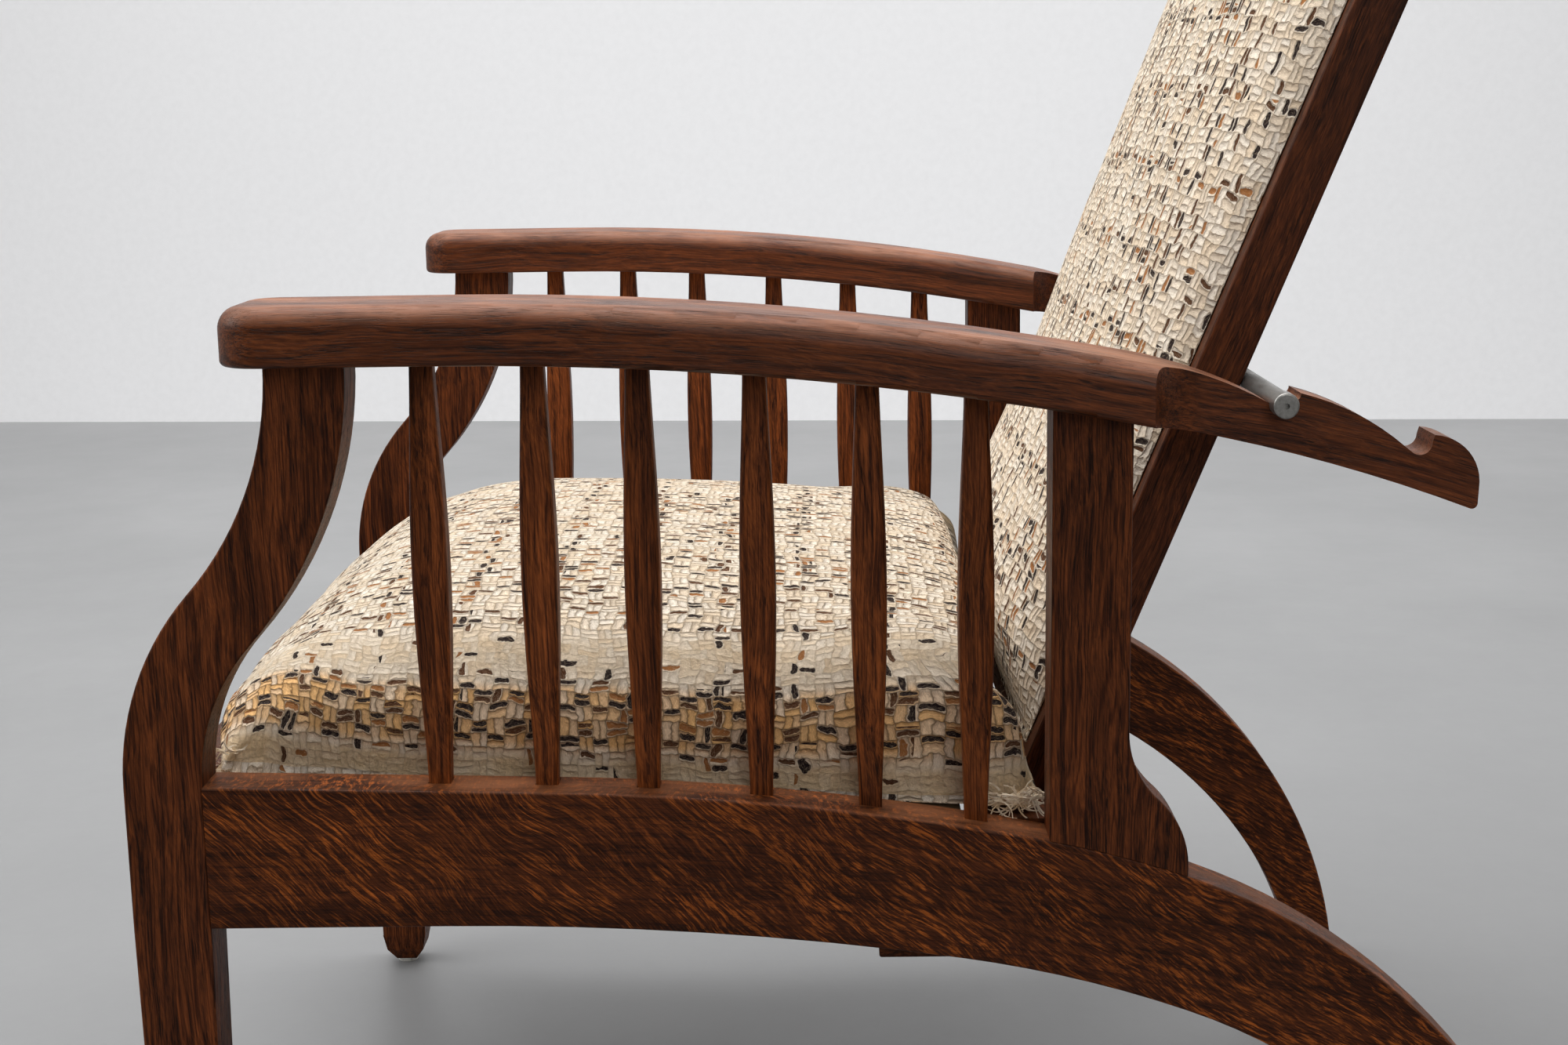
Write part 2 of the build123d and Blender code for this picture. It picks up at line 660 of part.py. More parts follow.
cross_web_pitch = (seat_length - 2 * seat_member) / web_crosswise_count
with BuildPart() as webbing_crosswise:
    with BuildSketch(seat_plane.offset(frame_top + web_thickness)):
        with Locations((0, seat_length / 2)):
            with GridLocations(cross_web_pitch, cross_web_pitch, 1, web_crosswise_count):
                Rectangle(2 * (seat_half - web_margin), web_width)
    extrude(amount=web_thickness)
    with BuildSketch(seat_plane.offset(frame_top)):
        for side in (-1, 1):
            with Locations((side * (seat_half - web_margin - web_fold / 2), seat_length / 2)):
                with GridLocations(cross_web_pitch, cross_web_pitch, 1, web_crosswise_count):
                    Rectangle(web_fold, web_width)
    extrude(amount=web_thickness)


def swell(share):
    """Fullness of a cushion at a share of its half width: 1 at the middle and 0 at the side."""
    return sqrt(1 - abs(share)**3)


def seat_surface(y):
    """Height of the seat under the cushion."""
    return seat_height - (y - front_y - seat_set_back) * tan(radians(seat_pitch))


cushion_half = inner_face - cushion_gap

with BuildPart() as seat_cushion:
    for share in cushion_stations:
        height = cushion_side + (cushion_crown - cushion_side) * swell(share)
        pull = cushion_end_pull * share**6
        front = front_y + cushion_front + pull
        rear = front_y + seat_rear + cushion_overhang - pull
        low_front = (front + cushion_lower_round, seat_surface(front + cushion_lower_round))
        foremost = (front, seat_surface(front) + cushion_front_share * height)
        shoulder_y = front + cushion_shoulder
        shoulder = (shoulder_y, seat_surface(shoulder_y) + cushion_shoulder_share * height)
        corner_y = rear - cushion_rear_corner
        corner = (corner_y, seat_surface(corner_y) + cushion_rear_share * height)
        rear_high_y = rear - cushion_rear_lean
        rear_high = (rear_high_y, seat_surface(rear_high_y) + cushion_rear_low_share * height)
        with BuildSketch(Plane.YZ.offset(share * cushion_half)):
            with BuildLine():
                Line((rear, seat_surface(rear)), low_front)
                Line(low_front, foremost)
                SagittaArc(foremost, shoulder, cushion_front_bulge_share * height)
                SagittaArc(shoulder, corner, cushion_top_bulge_share * height)
                SagittaArc(corner, rear_high, cushion_rear_bulge_share * height)
                Line(rear_high, (rear, seat_surface(rear)))
            make_face()
    loft()

# Hinge of the back: a block, a pin and a washer on each side
half_back = back_width / 2
block_x = half_back + hinge_gap
pin_radius = pin_diameter / 2
pin_reach = block_x + pin_depth


def along_x(start, end, radius, mode=Mode.ADD):
    """A round bar or bore on the back's pivot line, from one place along X to another."""
    with Locations(Location(((start + end) / 2, pivot[0], pivot[1]), (0, 90, 0))):
        Cylinder(radius, end - start, mode=mode)


with BuildPart() as hinge_block:
    with Locations(((block_x + inner_face) / 2, pivot[0], pivot[1])):
        Box(inner_face - block_x, block_length, block_height)
    fillet(hinge_block.edges().filter_by(Axis.Y).group_by(Axis.X)[0], arris)
    along_x(block_x - overrun, pin_reach + mortise_gap, pin_radius + pin_gap, Mode.SUBTRACT)

pin_start = half_back - stile_thickness - running_gap
with BuildPart() as hinge_pin:
    along_x(pin_start, pin_reach, pin_radius)
    along_x(pin_start - pin_head_length, pin_start, pin_head_diameter / 2)

with BuildPart() as hinge_washer:
    along_x(half_back + running_gap, block_x, washer_diameter / 2)
    along_x(half_back - overrun, block_x + overrun, pin_radius + pin_gap, Mode.SUBTRACT)

# Back frame, drawn along its own lean
rod_offset = stile_depth / 2 + running_gap + rod_radius
rod_reach = hypot(notch_1[0] - pivot[0], notch_1[1] - pivot[1])
back_lean = degrees(atan2(notch_1[0] - pivot[0], notch_1[1] - pivot[1]) - asin(rod_offset / rod_reach))
lean_sin = sin(radians(back_lean))
lean_cos = cos(radians(back_lean))
back_plane = Plane(origin=(0, pivot[0], pivot[1]), x_dir=(1, 0, 0), z_dir=(0, -lean_cos, lean_sin))


def back_side(x):
    """Side plane of the back: its x runs up the stile and its y runs forward."""
    return Plane(origin=(x, pivot[0], pivot[1]), x_dir=(0, lean_sin, lean_cos), z_dir=(1, 0, 0))


stile_inner = half_back - stile_thickness
stile_front = stile_depth / 2
crest_centre = stile_length - crest_drop - back_rail_height / 2
bottom_centre = back_rail_start + back_rail_height / 2
slat_pitch = (crest_centre - bottom_centre) / (slat_count + 1)
slat_centres = [bottom_centre + slat_pitch * (number + 1) for number in range(slat_count)]
cross_pieces = {"back_crest_rail": (crest_centre, back_rail_height, back_rail_thickness),
                "back_bottom_rail": (bottom_centre, back_rail_height, back_rail_thickness)}
for number, centre in enumerate(slat_centres):
    cross_pieces[f"back_slat_{number + 1}"] = (centre, slat_height, slat_thickness)

with BuildPart() as back_stile:
    with BuildSketch(back_side(stile_inner)):
        with Locations((stile_length / 2, 0)):
            Rectangle(stile_length, stile_depth)
        Circle(stile_depth / 2)
    extrude(amount=stile_thickness)
    top_end = back_stile.edges().filter_by(Axis.X).sort_by(Axis.Z)[-2:]
    fillet(top_end, stile_top_round)
    long_edges = back_stile.edges().filter_by(lambda edge: edge.length > stile_length / 2)
    fillet(long_edges, arris)
    along_x(stile_inner - overrun, half_back + overrun, pin_radius + pin_gap, Mode.SUBTRACT)
    for centre, height, thickness in cross_pieces.values():
        with BuildSketch(back_plane.offset(stile_front + glue_gap)):
            with Locations((stile_inner + (back_tenon + mortise_gap) / 2, centre)):
                Rectangle(back_tenon + mortise_gap, height + 2 * glue_gap)
        extrude(amount=-thickness - 2 * glue_gap, mode=Mode.SUBTRACT)


def cross_piece(centre, height, thickness):
    """A rail or slat between the stiles, housed in both."""
    with BuildPart() as piece:
        with BuildSketch(back_plane.offset(stile_front)):
            with Locations((0, centre)):
                Rectangle(2 * (stile_inner + back_tenon), height)
        extrude(amount=-thickness)
        fillet(piece.edges().filter_by(Axis.X), arris)
    return piece


with BuildPart() as back_cushion:
    for share in cushion_stations:
        depth = pad_side + (pad_depth - pad_side) * sqrt(1 - share**2)
        pull = pad_end_pull * share**6
        start = pad_start + pull
        end = pad_end - pull
        toe = (start + pad_toe, stile_front + pad_toe_share * depth)
        head = (end - pad_head, stile_front + pad_head_share * depth)
        tip = (end, stile_front + pad_end_share * depth)
        with BuildSketch(back_side(share * pad_width / 2)):
            with BuildLine():
                SagittaArc((start, stile_front), toe, pad_toe_bulge)
                SagittaArc(toe, head, pad_front_bulge)
                SagittaArc(head, tip, pad_head_bulge)
                Line(tip, (end - pad_end_lean, stile_front))
                Line((end - pad_end_lean, stile_front), (start, stile_front))
            make_face()
    loft()

# Support rod with its two caps
cap_start = half_frame + cap_gap


def on_rod(start, end, radius, mode=Mode.ADD):
    """A round bar or bore on the rod's line, from one place along X to another."""
    with Locations(Location(((start + end) / 2, notch_1[0], notch_1[1]), (0, 90, 0))):
        Cylinder(radius, end - start, mode=mode)


with BuildPart() as support_rod:
    on_rod(-cap_start, cap_start, rod_radius)
    on_rod(-cap_start - rod_tenon_length, cap_start + rod_tenon_length, rod_tenon_diameter / 2)

with BuildPart() as rod_cap:
    on_rod(cap_start, cap_start + cap_length, cap_diameter / 2)
    fillet(rod_cap.edges().filter_by(GeomType.CIRCLE), cap_edge)
    cap_end = cap_start + cap_length
    on_rod(cap_start - overrun, cap_start + rod_tenon_length + mortise_gap,
           rod_tenon_diameter / 2 + pin_gap, Mode.SUBTRACT)
    on_rod(cap_end - cap_centre_depth, cap_end + overrun, cap_centre_diameter / 2, Mode.SUBTRACT)

# Glides under the four feet
with BuildPart() as foot_glides:
    for y in (foot_y, rear_foot_y):
        with Locations((board_centre, y, glide_height / 2)):
            Cylinder(glide_diameter / 2, glide_height)
    mirror(about=Plane.YZ)


def save(name, piece):
    """Label a finished piece and write it."""
    piece.label = name
    export_step(piece, f"parts/{name}.step")


def save_pair(name, piece):
    """Write a piece of the left half and its mirror image."""
    save(f"left_{name}", piece)
    with BuildPart() as twin:
        mirror(piece, about=Plane.YZ)
    save(f"right_{name}", twin.part)


for name, piece in (("front_leg", front_leg), ("side_rail", side_rail), ("rear_post", rear_post),
                    ("post_heel", post_heel), ("arm", arm), ("seat_cleat", seat_cleat),
                    ("hinge_block", hinge_block), ("hinge_pin", hinge_pin),
                    ("hinge_washer", hinge_washer), ("back_stile", back_stile), ("rod_cap", rod_cap)):
    save_pair(name, piece.part)
save_pair("seat_frame_side", seat_frame_side.part)
for number, spindle_y in enumerate(spindle_ys):
    save_pair(f"spindle_{number + 1}", spindle(spindle_y).part)
for name, (centre, height, thickness) in cross_pieces.items():
    save(name, cross_piece(centre, height, thickness).part)
for name, piece in (("front_seat_rail", front_seat_rail), ("rear_seat_rail", rear_seat_rail),
                    ("cleat_screws", cleat_screws), ("seat_frame_front", seat_frame_front),
                    ("seat_frame_rear", seat_frame_rear), ("webbing_lengthwise", webbing_lengthwise),
                    ("webbing_crosswise", webbing_crosswise), ("seat_cushion", seat_cushion),
                    ("back_cushion", back_cushion), ("support_rod", support_rod),
                    ("foot_glides", foot_glides)):
    save(name, piece.part)
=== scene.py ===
import bpy
import numpy as np
from math import cos, pi, radians, sin
from mathutils import Matrix, Vector


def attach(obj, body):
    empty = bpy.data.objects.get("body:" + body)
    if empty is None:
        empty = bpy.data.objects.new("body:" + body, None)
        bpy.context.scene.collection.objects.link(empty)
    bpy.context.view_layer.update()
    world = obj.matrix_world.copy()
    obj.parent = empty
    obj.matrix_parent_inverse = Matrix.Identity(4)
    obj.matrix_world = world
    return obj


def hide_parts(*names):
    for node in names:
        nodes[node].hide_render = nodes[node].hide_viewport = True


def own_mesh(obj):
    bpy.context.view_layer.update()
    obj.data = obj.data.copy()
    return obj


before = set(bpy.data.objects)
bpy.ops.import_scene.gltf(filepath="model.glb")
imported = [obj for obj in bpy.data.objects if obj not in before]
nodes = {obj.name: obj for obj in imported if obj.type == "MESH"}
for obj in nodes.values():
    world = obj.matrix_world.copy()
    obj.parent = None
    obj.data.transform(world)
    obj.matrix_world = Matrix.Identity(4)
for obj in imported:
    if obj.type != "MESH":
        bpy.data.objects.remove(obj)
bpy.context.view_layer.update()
scene = bpy.context.scene
print("frame loaded:", len(nodes), "nodes")


# small helpers for node trees
def addNode(tree, kind, inputs=None, **settings):
    made = tree.nodes.new(kind)
    for key, value in settings.items():
        setattr(made, key, value)
    for key, value in (inputs or {}).items():
        if isinstance(value, bpy.types.NodeSocket):
            tree.links.new(value, made.inputs[key])
        else:
            made.inputs[key].default_value = value
    return made


def calc(tree, operation, first, second=0.0, third=0.0, clamp=False):
    made = addNode(tree, "ShaderNodeMath", {0: first, 1: second, 2: third}, operation=operation, use_clamp=clamp)
    return made.outputs[0]


def fit(tree, value, low, high, newLow=0.0, newHigh=1.0):
    made = addNode(tree, "ShaderNodeMapRange", {"Value": value, "From Min": low, "From Max": high,
                                                "To Min": newLow, "To Max": newHigh})
    return made.outputs[0]


def blendColor(tree, share, first, second, mode="MIX"):
    made = tree.nodes.new("ShaderNodeMix")
    made.data_type = "RGBA"
    made.blend_type = mode
    for index, value in ((0, share), (6, first), (7, second)):
        if isinstance(value, bpy.types.NodeSocket):
            tree.links.new(value, made.inputs[index])
        elif index == 0:
            made.inputs[0].default_value = value
        else:
            made.inputs[index].default_value = tuple(value) + (1.0,) * (4 - len(value))
    return made.outputs[2]


def mixValue(tree, share, first, second):
    made = addNode(tree, "ShaderNodeMix", {0: share, 2: first, 3: second}, data_type="FLOAT")
    return made.outputs[0]


def stretched(tree, vector, scale, detail=2.0, rough=0.5, distortion=0.0):
    placed = addNode(tree, "ShaderNodeMapping", {"Vector": vector, "Scale": scale})
    made = addNode(tree, "ShaderNodeTexNoise", {"Vector": placed.outputs[0], "Scale": 1.0, "Detail": detail,
                                                "Roughness": rough, "Distortion": distortion})
    return made.outputs["Fac"]


def joinXYZ(tree, x, y, z=0.0):
    return addNode(tree, "ShaderNodeCombineXYZ", {0: x, 1: y, 2: z}).outputs[0]


def newGroup(name, inputs, outputs):
    group = bpy.data.node_groups.new(name, "ShaderNodeTree")
    for label, kind, value in inputs:
        socket = group.interface.new_socket(label, in_out="INPUT", socket_type="NodeSocket" + kind)
        if value is not None:
            socket.default_value = value
    for label, kind in outputs:
        group.interface.new_socket(label, in_out="OUTPUT", socket_type="NodeSocket" + kind)
    entry = group.nodes.new("NodeGroupInput")
    leave = group.nodes.new("NodeGroupOutput")
    return group, entry.outputs, leave.inputs


def useGroup(tree, group, inputs):
    made = tree.nodes.new("ShaderNodeGroup")
    made.node_tree = group
    for key, value in inputs.items():
        if isinstance(value, bpy.types.NodeSocket):
            tree.links.new(value, made.inputs[key])
        else:
            made.inputs[key].default_value = value
    return made.outputs


def newMaterial(name):
    material = bpy.data.materials.new(name)
    material.use_nodes = True
    tree = material.node_tree
    tree.nodes.clear()
    shader = tree.nodes.new("ShaderNodeBsdfPrincipled")
    out = tree.nodes.new("ShaderNodeOutputMaterial")
    tree.links.new(shader.outputs[0], out.inputs["Surface"])
    return material, tree, shader


def addBump(tree, shader, height, distance, strength=1.0):
    bump = addNode(tree, "ShaderNodeBump", {"Height": height, "Distance": distance, "Strength": strength})
    tree.links.new(bump.outputs[0], shader.inputs["Normal"])


# quartersawn oak: straight grain, open pores and slanting ray flecks; the vector is in millimetres
grain = {"sway": 0.011, "drift": (9.0, 40.0, 9.0), "broad": (0.055, 0.0022, 0.055), "rings": (0.26, 0.007, 0.26),
         "streak": (0.8, 0.016, 0.8), "pores": (1.35, 0.042, 1.35), "poreColor": (0.008, 0.0035, 0.002),
         "waves": (0.03, 0.02, 0.03), "waveDepth": 12.0, "rays": (0.46, 0.075, 0.15), "hatch": (0.85, 0.1, 0.2),
         "area": (0.024, 0.012, 0.03), "swing": (0.1, 0.004, 0.1), "swingDepth": 60.0, "linePitch": 4.4,
         "lineTint": (0.34, 0.3, 0.3)}


def makeOakGroup():
    group, given, out = newGroup("quartersawnOak", [
        ("Vector", "Vector", None), ("Dark", "Color", None), ("Middle", "Color", None), ("Fleck", "Color", None),
        ("Slope", "Float", 0.5), ("Bend", "Float", 0.0), ("Flecks", "Float", 1.0), ("Pores", "Float", 1.0),
        ("Lines", "Float", 0.5)],
        [("Color", "Color"), ("Height", "Float"), ("Roughness", "Float")])
    vector = given["Vector"]
    sway = addNode(group, "ShaderNodeTexNoise", {"Vector": vector, "Scale": grain["sway"], "Detail": 1.0})
    push = addNode(group, "ShaderNodeVectorMath", {0: sway.outputs["Color"], 1: (0.5, 0.5, 0.5)},
                   operation="SUBTRACT")
    pushed = addNode(group, "ShaderNodeVectorMath", {0: push.outputs[0], 1: grain["drift"], 2: vector},
                     operation="MULTIPLY_ADD").outputs[0]
    broad = stretched(group, pushed, grain["broad"], 2.0)
    rings = stretched(group, pushed, grain["rings"], 3.0, 0.6)
    streak = stretched(group, pushed, grain["streak"], 4.0, 0.65)
    pores = stretched(group, pushed, grain["pores"], 2.0, 0.55)
    # the flecks run along lines that slant over the board and bend slowly along it
    split = addNode(group, "ShaderNodeSeparateXYZ", {0: pushed}).outputs
    slant = calc(group, "ADD", given["Slope"], calc(group, "MULTIPLY", split[1], given["Bend"]))
    line = calc(group, "MULTIPLY_ADD", split[1], slant, split[0])
    waves = calc(group, "SUBTRACT", stretched(group, vector, grain["waves"], 2.0), 0.5)
    line = calc(group, "MULTIPLY_ADD", waves, grain["waveDepth"], line)
    slanted = joinXYZ(group, line, split[1], split[2])
    rays = stretched(group, slanted, grain["rays"], 4.0, 0.7)
    hatch = stretched(group, slanted, grain["hatch"], 3.0, 0.65)
    area = fit(group, stretched(group, slanted, grain["area"], 1.0), 0.36, 0.6, 0.35, 1.0)
    fleck = calc(group, "MULTIPLY", fit(group, rays, 0.5, 0.6), area)
    fleck = calc(group, "MULTIPLY", fleck, given["Flecks"], clamp=True)
    tone = calc(group, "ADD", calc(group, "MULTIPLY", fit(group, streak, 0.4, 0.62), 0.45),
                calc(group, "MULTIPLY", fit(group, rings, 0.4, 0.6), 0.55))
    color = blendColor(group, tone, given["Dark"], given["Middle"])
    color = blendColor(group, fleck, color, given["Fleck"])
    hatched = mixValue(group, calc(group, "MULTIPLY", given["Flecks"], 1.0, clamp=True), 1.0,
                       fit(group, hatch, 0.36, 0.64, 1.45, 0.45))
    shade = calc(group, "MULTIPLY", fit(group, broad, 0.3, 0.7, 0.72, 1.25), hatched)
    color = blendColor(group, 1.0, color, joinXYZ(group, shade, shade, shade), "MULTIPLY")
    # dark growth lines a few millimetres apart
    swing = stretched(group, pushed, grain["swing"], 2.0, 0.55)
    phase = calc(group, "MULTIPLY", split[0], 2 * pi / grain["linePitch"])
    phase = calc(group, "MULTIPLY_ADD", swing, grain["swingDepth"], phase)
    grown = fit(group, calc(group, "SINE", phase), 0.1, 0.95)
    grown = calc(group, "MULTIPLY", grown, fit(group, streak, 0.7, 0.4, 0.35, 1.0))
    color = blendColor(group, calc(group, "MULTIPLY", grown, given["Lines"]), color,
                       blendColor(group, 1.0, color, grain["lineTint"], "MULTIPLY"))
    hole = calc(group, "MULTIPLY", fit(group, pores, 0.56, 0.63), fit(group, rings, 0.66, 0.4, 0.3, 1.0))
    hole = calc(group, "MULTIPLY", hole, given["Pores"], clamp=True)
    color = blendColor(group, calc(group, "MULTIPLY", hole, 0.8), color, grain["poreColor"])
    group.links.new(color, out["Color"])
    height = calc(group, "SUBTRACT", calc(group, "MULTIPLY", tone, 0.25), hole)
    group.links.new(height, out["Height"])
    uneven = fit(group, broad, 0.3, 0.7, -0.05, 0.05)
    group.links.new(calc(group, "ADD", uneven, calc(group, "MULTIPLY", hole, 0.25)), out["Roughness"])
    return group


# handling wear and painted top sheen: rubbed patches where a face looks up, lighter partly as a painted sheen of the
# overhead light, with fine scratches
rubbingAndSheen = {"patch": (0.035, 0.012, 0.035), "scratches": (0.5, 0.035, 0.5)}


def makeWearAndSheenGroup():
    group, given, out = newGroup("rubbedWearAndTopSheen", [
        ("Vector", "Vector", None), ("Color", "Color", None), ("WornAndSheen", "Color", None), ("Amount", "Float", 0.5),
        ("Scratches", "Float", 0.3)], [("Color", "Color"), ("Mask", "Float"), ("Height", "Float")])
    upward = addNode(group, "ShaderNodeSeparateXYZ", {0: addNode(group, "ShaderNodeNewGeometry").outputs["Normal"]})
    facing = fit(group, upward.outputs[2], 0.2, 0.98)
    patch = fit(group, stretched(group, given["Vector"], rubbingAndSheen["patch"], 4.0, 0.65), 0.36, 0.66)
    # up-facing patches take the lighter worn colour: real rubbing, and painted sheen on the tops
    rubbedAndSheen = calc(group, "MULTIPLY", calc(group, "MULTIPLY", facing, patch), given["Amount"], clamp=True)
    lines = stretched(group, given["Vector"], rubbingAndSheen["scratches"], 4.0, 0.75, 0.8)
    scratch = calc(group, "MULTIPLY", calc(group, "MULTIPLY", fit(group, lines, 0.63, 0.68), facing),
                   given["Scratches"], clamp=True)
    both = calc(group, "MAXIMUM", rubbedAndSheen, scratch)
    group.links.new(blendColor(group, both, given["Color"], given["WornAndSheen"]), out["Color"])
    group.links.new(both, out["Mask"])
    group.links.new(calc(group, "MULTIPLY", scratch, -0.5), out["Height"])
    return group


oakGroup = makeOakGroup()
wearAndSheenGroup = makeWearAndSheenGroup()
print("groups for the oak made")

backLean = radians(22.39)
armBend = {"start": -0.2277, "radius": 1.9}  # where the arms begin to bend down, and how tightly
# along is the direction of the grain; the colours are linear; the worn colour and the wear amount are for rubbed
# up-facing faces, which are partly a painted top sheen
oakLooks = {
    "railOak": {"along": "Y", "dark": (0.032, 0.0085, 0.0031), "middle": (0.086, 0.0225, 0.0064),
                "fleck": (0.33, 0.084, 0.0135), "slope": 0.69, "bend": -0.00055, "flecks": 0.95, "pores": 0.6,
                "lines": 0.15, "rough": 0.46, "gloss": 0.12, "wornAndSheen": (0.25, 0.09, 0.034), "wearAndSheen": 0.75,
                "scratches": 0.5},
    "legOak": {"along": "Z", "dark": (0.042, 0.0112, 0.004), "middle": (0.18, 0.047, 0.012),
               "fleck": (0.24, 0.064, 0.014), "slope": 0.12, "bend": 0.0, "flecks": 0.35, "pores": 1.0, "lines": 0.95,
               "rough": 0.46, "gloss": 0.12, "wornAndSheen": (0.22, 0.085, 0.036), "wearAndSheen": 0.3, "scratches": 0.3},
    "spindleOak": {"along": "Z", "dark": (0.048, 0.0125, 0.0042), "middle": (0.26, 0.068, 0.0155),
                   "fleck": (0.28, 0.075, 0.015), "slope": 0.2, "bend": 0.0, "flecks": 0.4, "pores": 1.0,
                   "lines": 0.7, "rough": 0.46, "gloss": 0.12, "wornAndSheen": (0.22, 0.085, 0.036), "wearAndSheen": 0.3,
                   "scratches": 0.3},
    "crossOak": {"along": "X", "dark": (0.036, 0.01, 0.0038), "middle": (0.08, 0.0225, 0.007),
                 "fleck": (0.2, 0.053, 0.012), "slope": 0.4, "bend": 0.0, "flecks": 0.6, "pores": 0.6, "lines": 0.3,
                 "rough": 0.46, "gloss": 0.12, "wornAndSheen": (0.18, 0.07, 0.03), "wearAndSheen": 0.3, "scratches": 0.3},
    "stileOak": {"along": "lean", "dark": (0.032, 0.009, 0.0034), "middle": (0.092, 0.0245, 0.0075),
                 "fleck": (0.18, 0.048, 0.012), "slope": 0.1, "bend": 0.0, "flecks": 0.4, "pores": 0.9, "lines": 0.5,
                 "rough": 0.46, "gloss": 0.12, "wornAndSheen": (0.18, 0.07, 0.03), "wearAndSheen": 0.3, "scratches": 0.3},
    "armOak": {"along": "Y", "dark": (0.044, 0.0115, 0.0036), "middle": (0.15, 0.039, 0.0105),
               "fleck": (0.25, 0.07, 0.018), "slope": 0.1, "bend": 0.0, "flecks": 0.3, "pores": 1.0, "lines": 0.6,
               "rough": 0.38, "gloss": 0.2, "wornAndSheen": (0.36, 0.16, 0.09), "wearAndSheen": 0.85, "scratches": 0.6},
    "innerWood": {"along": "Y", "dark": (0.22, 0.135, 0.07), "middle": (0.37, 0.25, 0.14),
                  "fleck": (0.46, 0.33, 0.2), "slope": 0.3, "bend": 0.0, "flecks": 0.2, "pores": 0.4, "lines": 0.3,
                  "rough": 0.6, "gloss": 0.3, "wornAndSheen": (0.4, 0.3, 0.18), "wearAndSheen": 0.2, "scratches": 0.2},
}


def boardVector(tree, along):
    # millimetres, with x across the board, y along its grain and z through it
    place = addNode(tree, "ShaderNodeTexCoord").outputs["Object"]
    if along == "lean":
        place = addNode(tree, "ShaderNodeVectorRotate", {"Vector": place, "Angle": backLean},
                        rotation_type="X_AXIS").outputs[0]
    split = addNode(tree, "ShaderNodeSeparateXYZ", {0: place}).outputs
    x, y, z = (calc(tree, "MULTIPLY", split[index], 1000.0) for index in range(3))
    if along == "X":
        return joinXYZ(tree, z, x, y)
    if along == "Y":
        past = calc(tree, "MAXIMUM", calc(tree, "SUBTRACT", y, armBend["start"] * 1000), 0.0)
        drop = calc(tree, "DIVIDE", calc(tree, "MULTIPLY", past, past), 2000 * armBend["radius"])
        return joinXYZ(tree, calc(tree, "ADD", z, drop), y, x)
    return joinXYZ(tree, y, z, x)


def makeOak(name, look):
    material, tree, shader = newMaterial(name)
    vector = boardVector(tree, look["along"])
    oak = useGroup(tree, oakGroup, {
        "Vector": vector, "Dark": look["dark"] + (1,), "Middle": look["middle"] + (1,), "Fleck": look["fleck"] + (1,),
        "Slope": look["slope"], "Bend": look["bend"], "Flecks": look["flecks"], "Pores": look["pores"],
        "Lines": look["lines"]})
    wearAndSheen = useGroup(tree, wearAndSheenGroup, {"Vector": vector, "Color": oak["Color"], "WornAndSheen": look["wornAndSheen"] + (1,),
                                      "Amount": look["wearAndSheen"], "Scratches": look["scratches"]})
    tree.links.new(wearAndSheen["Color"], shader.inputs["Base Color"])
    rough = calc(tree, "ADD", oak["Roughness"], calc(tree, "MULTIPLY", wearAndSheen["Mask"], 0.15))
    tree.links.new(calc(tree, "ADD", rough, look["rough"]), shader.inputs["Roughness"])
    shader.inputs["Specular IOR Level"].default_value = look["gloss"]
    addBump(tree, shader, calc(tree, "ADD", oak["Height"], wearAndSheen["Height"]), 0.00022, 0.7)
    return material


oaks = {name: makeOak(name, look) for name, look in oakLooks.items()}
print("oak finishes made")


# steel, webbing and glides
def makeSteel(name, color, rough):
    material, tree, shader = newMaterial(name)
    place = addNode(tree, "ShaderNodeTexCoord").outputs["Object"]
    grey = stretched(tree, place, (60.0, 260.0, 260.0), 4.0, 0.65)
    fine = stretched(tree, place, (300.0, 2600.0, 2600.0), 2.0, 0.6)
    dull = tuple(0.55 * value for value in color)
    tree.links.new(blendColor(tree, fit(tree, grey, 0.35, 0.7), color, dull), shader.inputs["Base Color"])
    tree.links.new(fit(tree, grey, 0.3, 0.7, rough - 0.07, rough + 0.12), shader.inputs["Roughness"])
    shader.inputs["Metallic"].default_value = 1.0
    addBump(tree, shader, fine, 0.00006, 0.6)
    return material


webbingRibs = 2400.0  # radians of both sine waves along one metre


def makeWebbing(name):
    material, tree, shader = newMaterial(name)
    place = addNode(tree, "ShaderNodeTexCoord").outputs["Object"]
    split = addNode(tree, "ShaderNodeSeparateXYZ", {0: place}).outputs
    ribs, picks = (calc(tree, "SINE", calc(tree, "MULTIPLY", split[index], webbingRibs)) for index in (0, 1))
    weave = calc(tree, "MULTIPLY", ribs, picks)
    hairs = stretched(tree, place, (900.0, 900.0, 900.0), 4.0, 0.7)
    color = blendColor(tree, fit(tree, hairs, 0.3, 0.7), (0.33, 0.22, 0.12), (0.2, 0.125, 0.065))
    tree.links.new(blendColor(tree, fit(tree, weave, -1, 1, 0.0, 0.4), color, (0.42, 0.31, 0.18)),
                   shader.inputs["Base Color"])
    shader.inputs["Roughness"].default_value = 0.9
    addBump(tree, shader, calc(tree, "ADD", weave, hairs), 0.0004, 0.8)
    return material


def makeNylon(name):
    material, tree, shader = newMaterial(name)
    place = addNode(tree, "ShaderNodeTexCoord").outputs["Object"]
    scuff = stretched(tree, place, (400.0, 400.0, 400.0), 4.0, 0.7)
    tree.links.new(blendColor(tree, fit(tree, scuff, 0.4, 0.7), (0.72, 0.71, 0.66), (0.42, 0.4, 0.36)),
                   shader.inputs["Base Color"])
    shader.inputs["Roughness"].default_value = 0.5
    addBump(tree, shader, scuff, 0.0001, 0.4)
    return material


rodSteel = makeSteel("rodSteel", (0.36, 0.35, 0.33), 0.4)
hingeSteel = makeSteel("hingeSteel", (0.28, 0.27, 0.26), 0.45)
juteWebbing = makeWebbing("juteWebbing")
glideNylon = makeNylon("glideNylon")

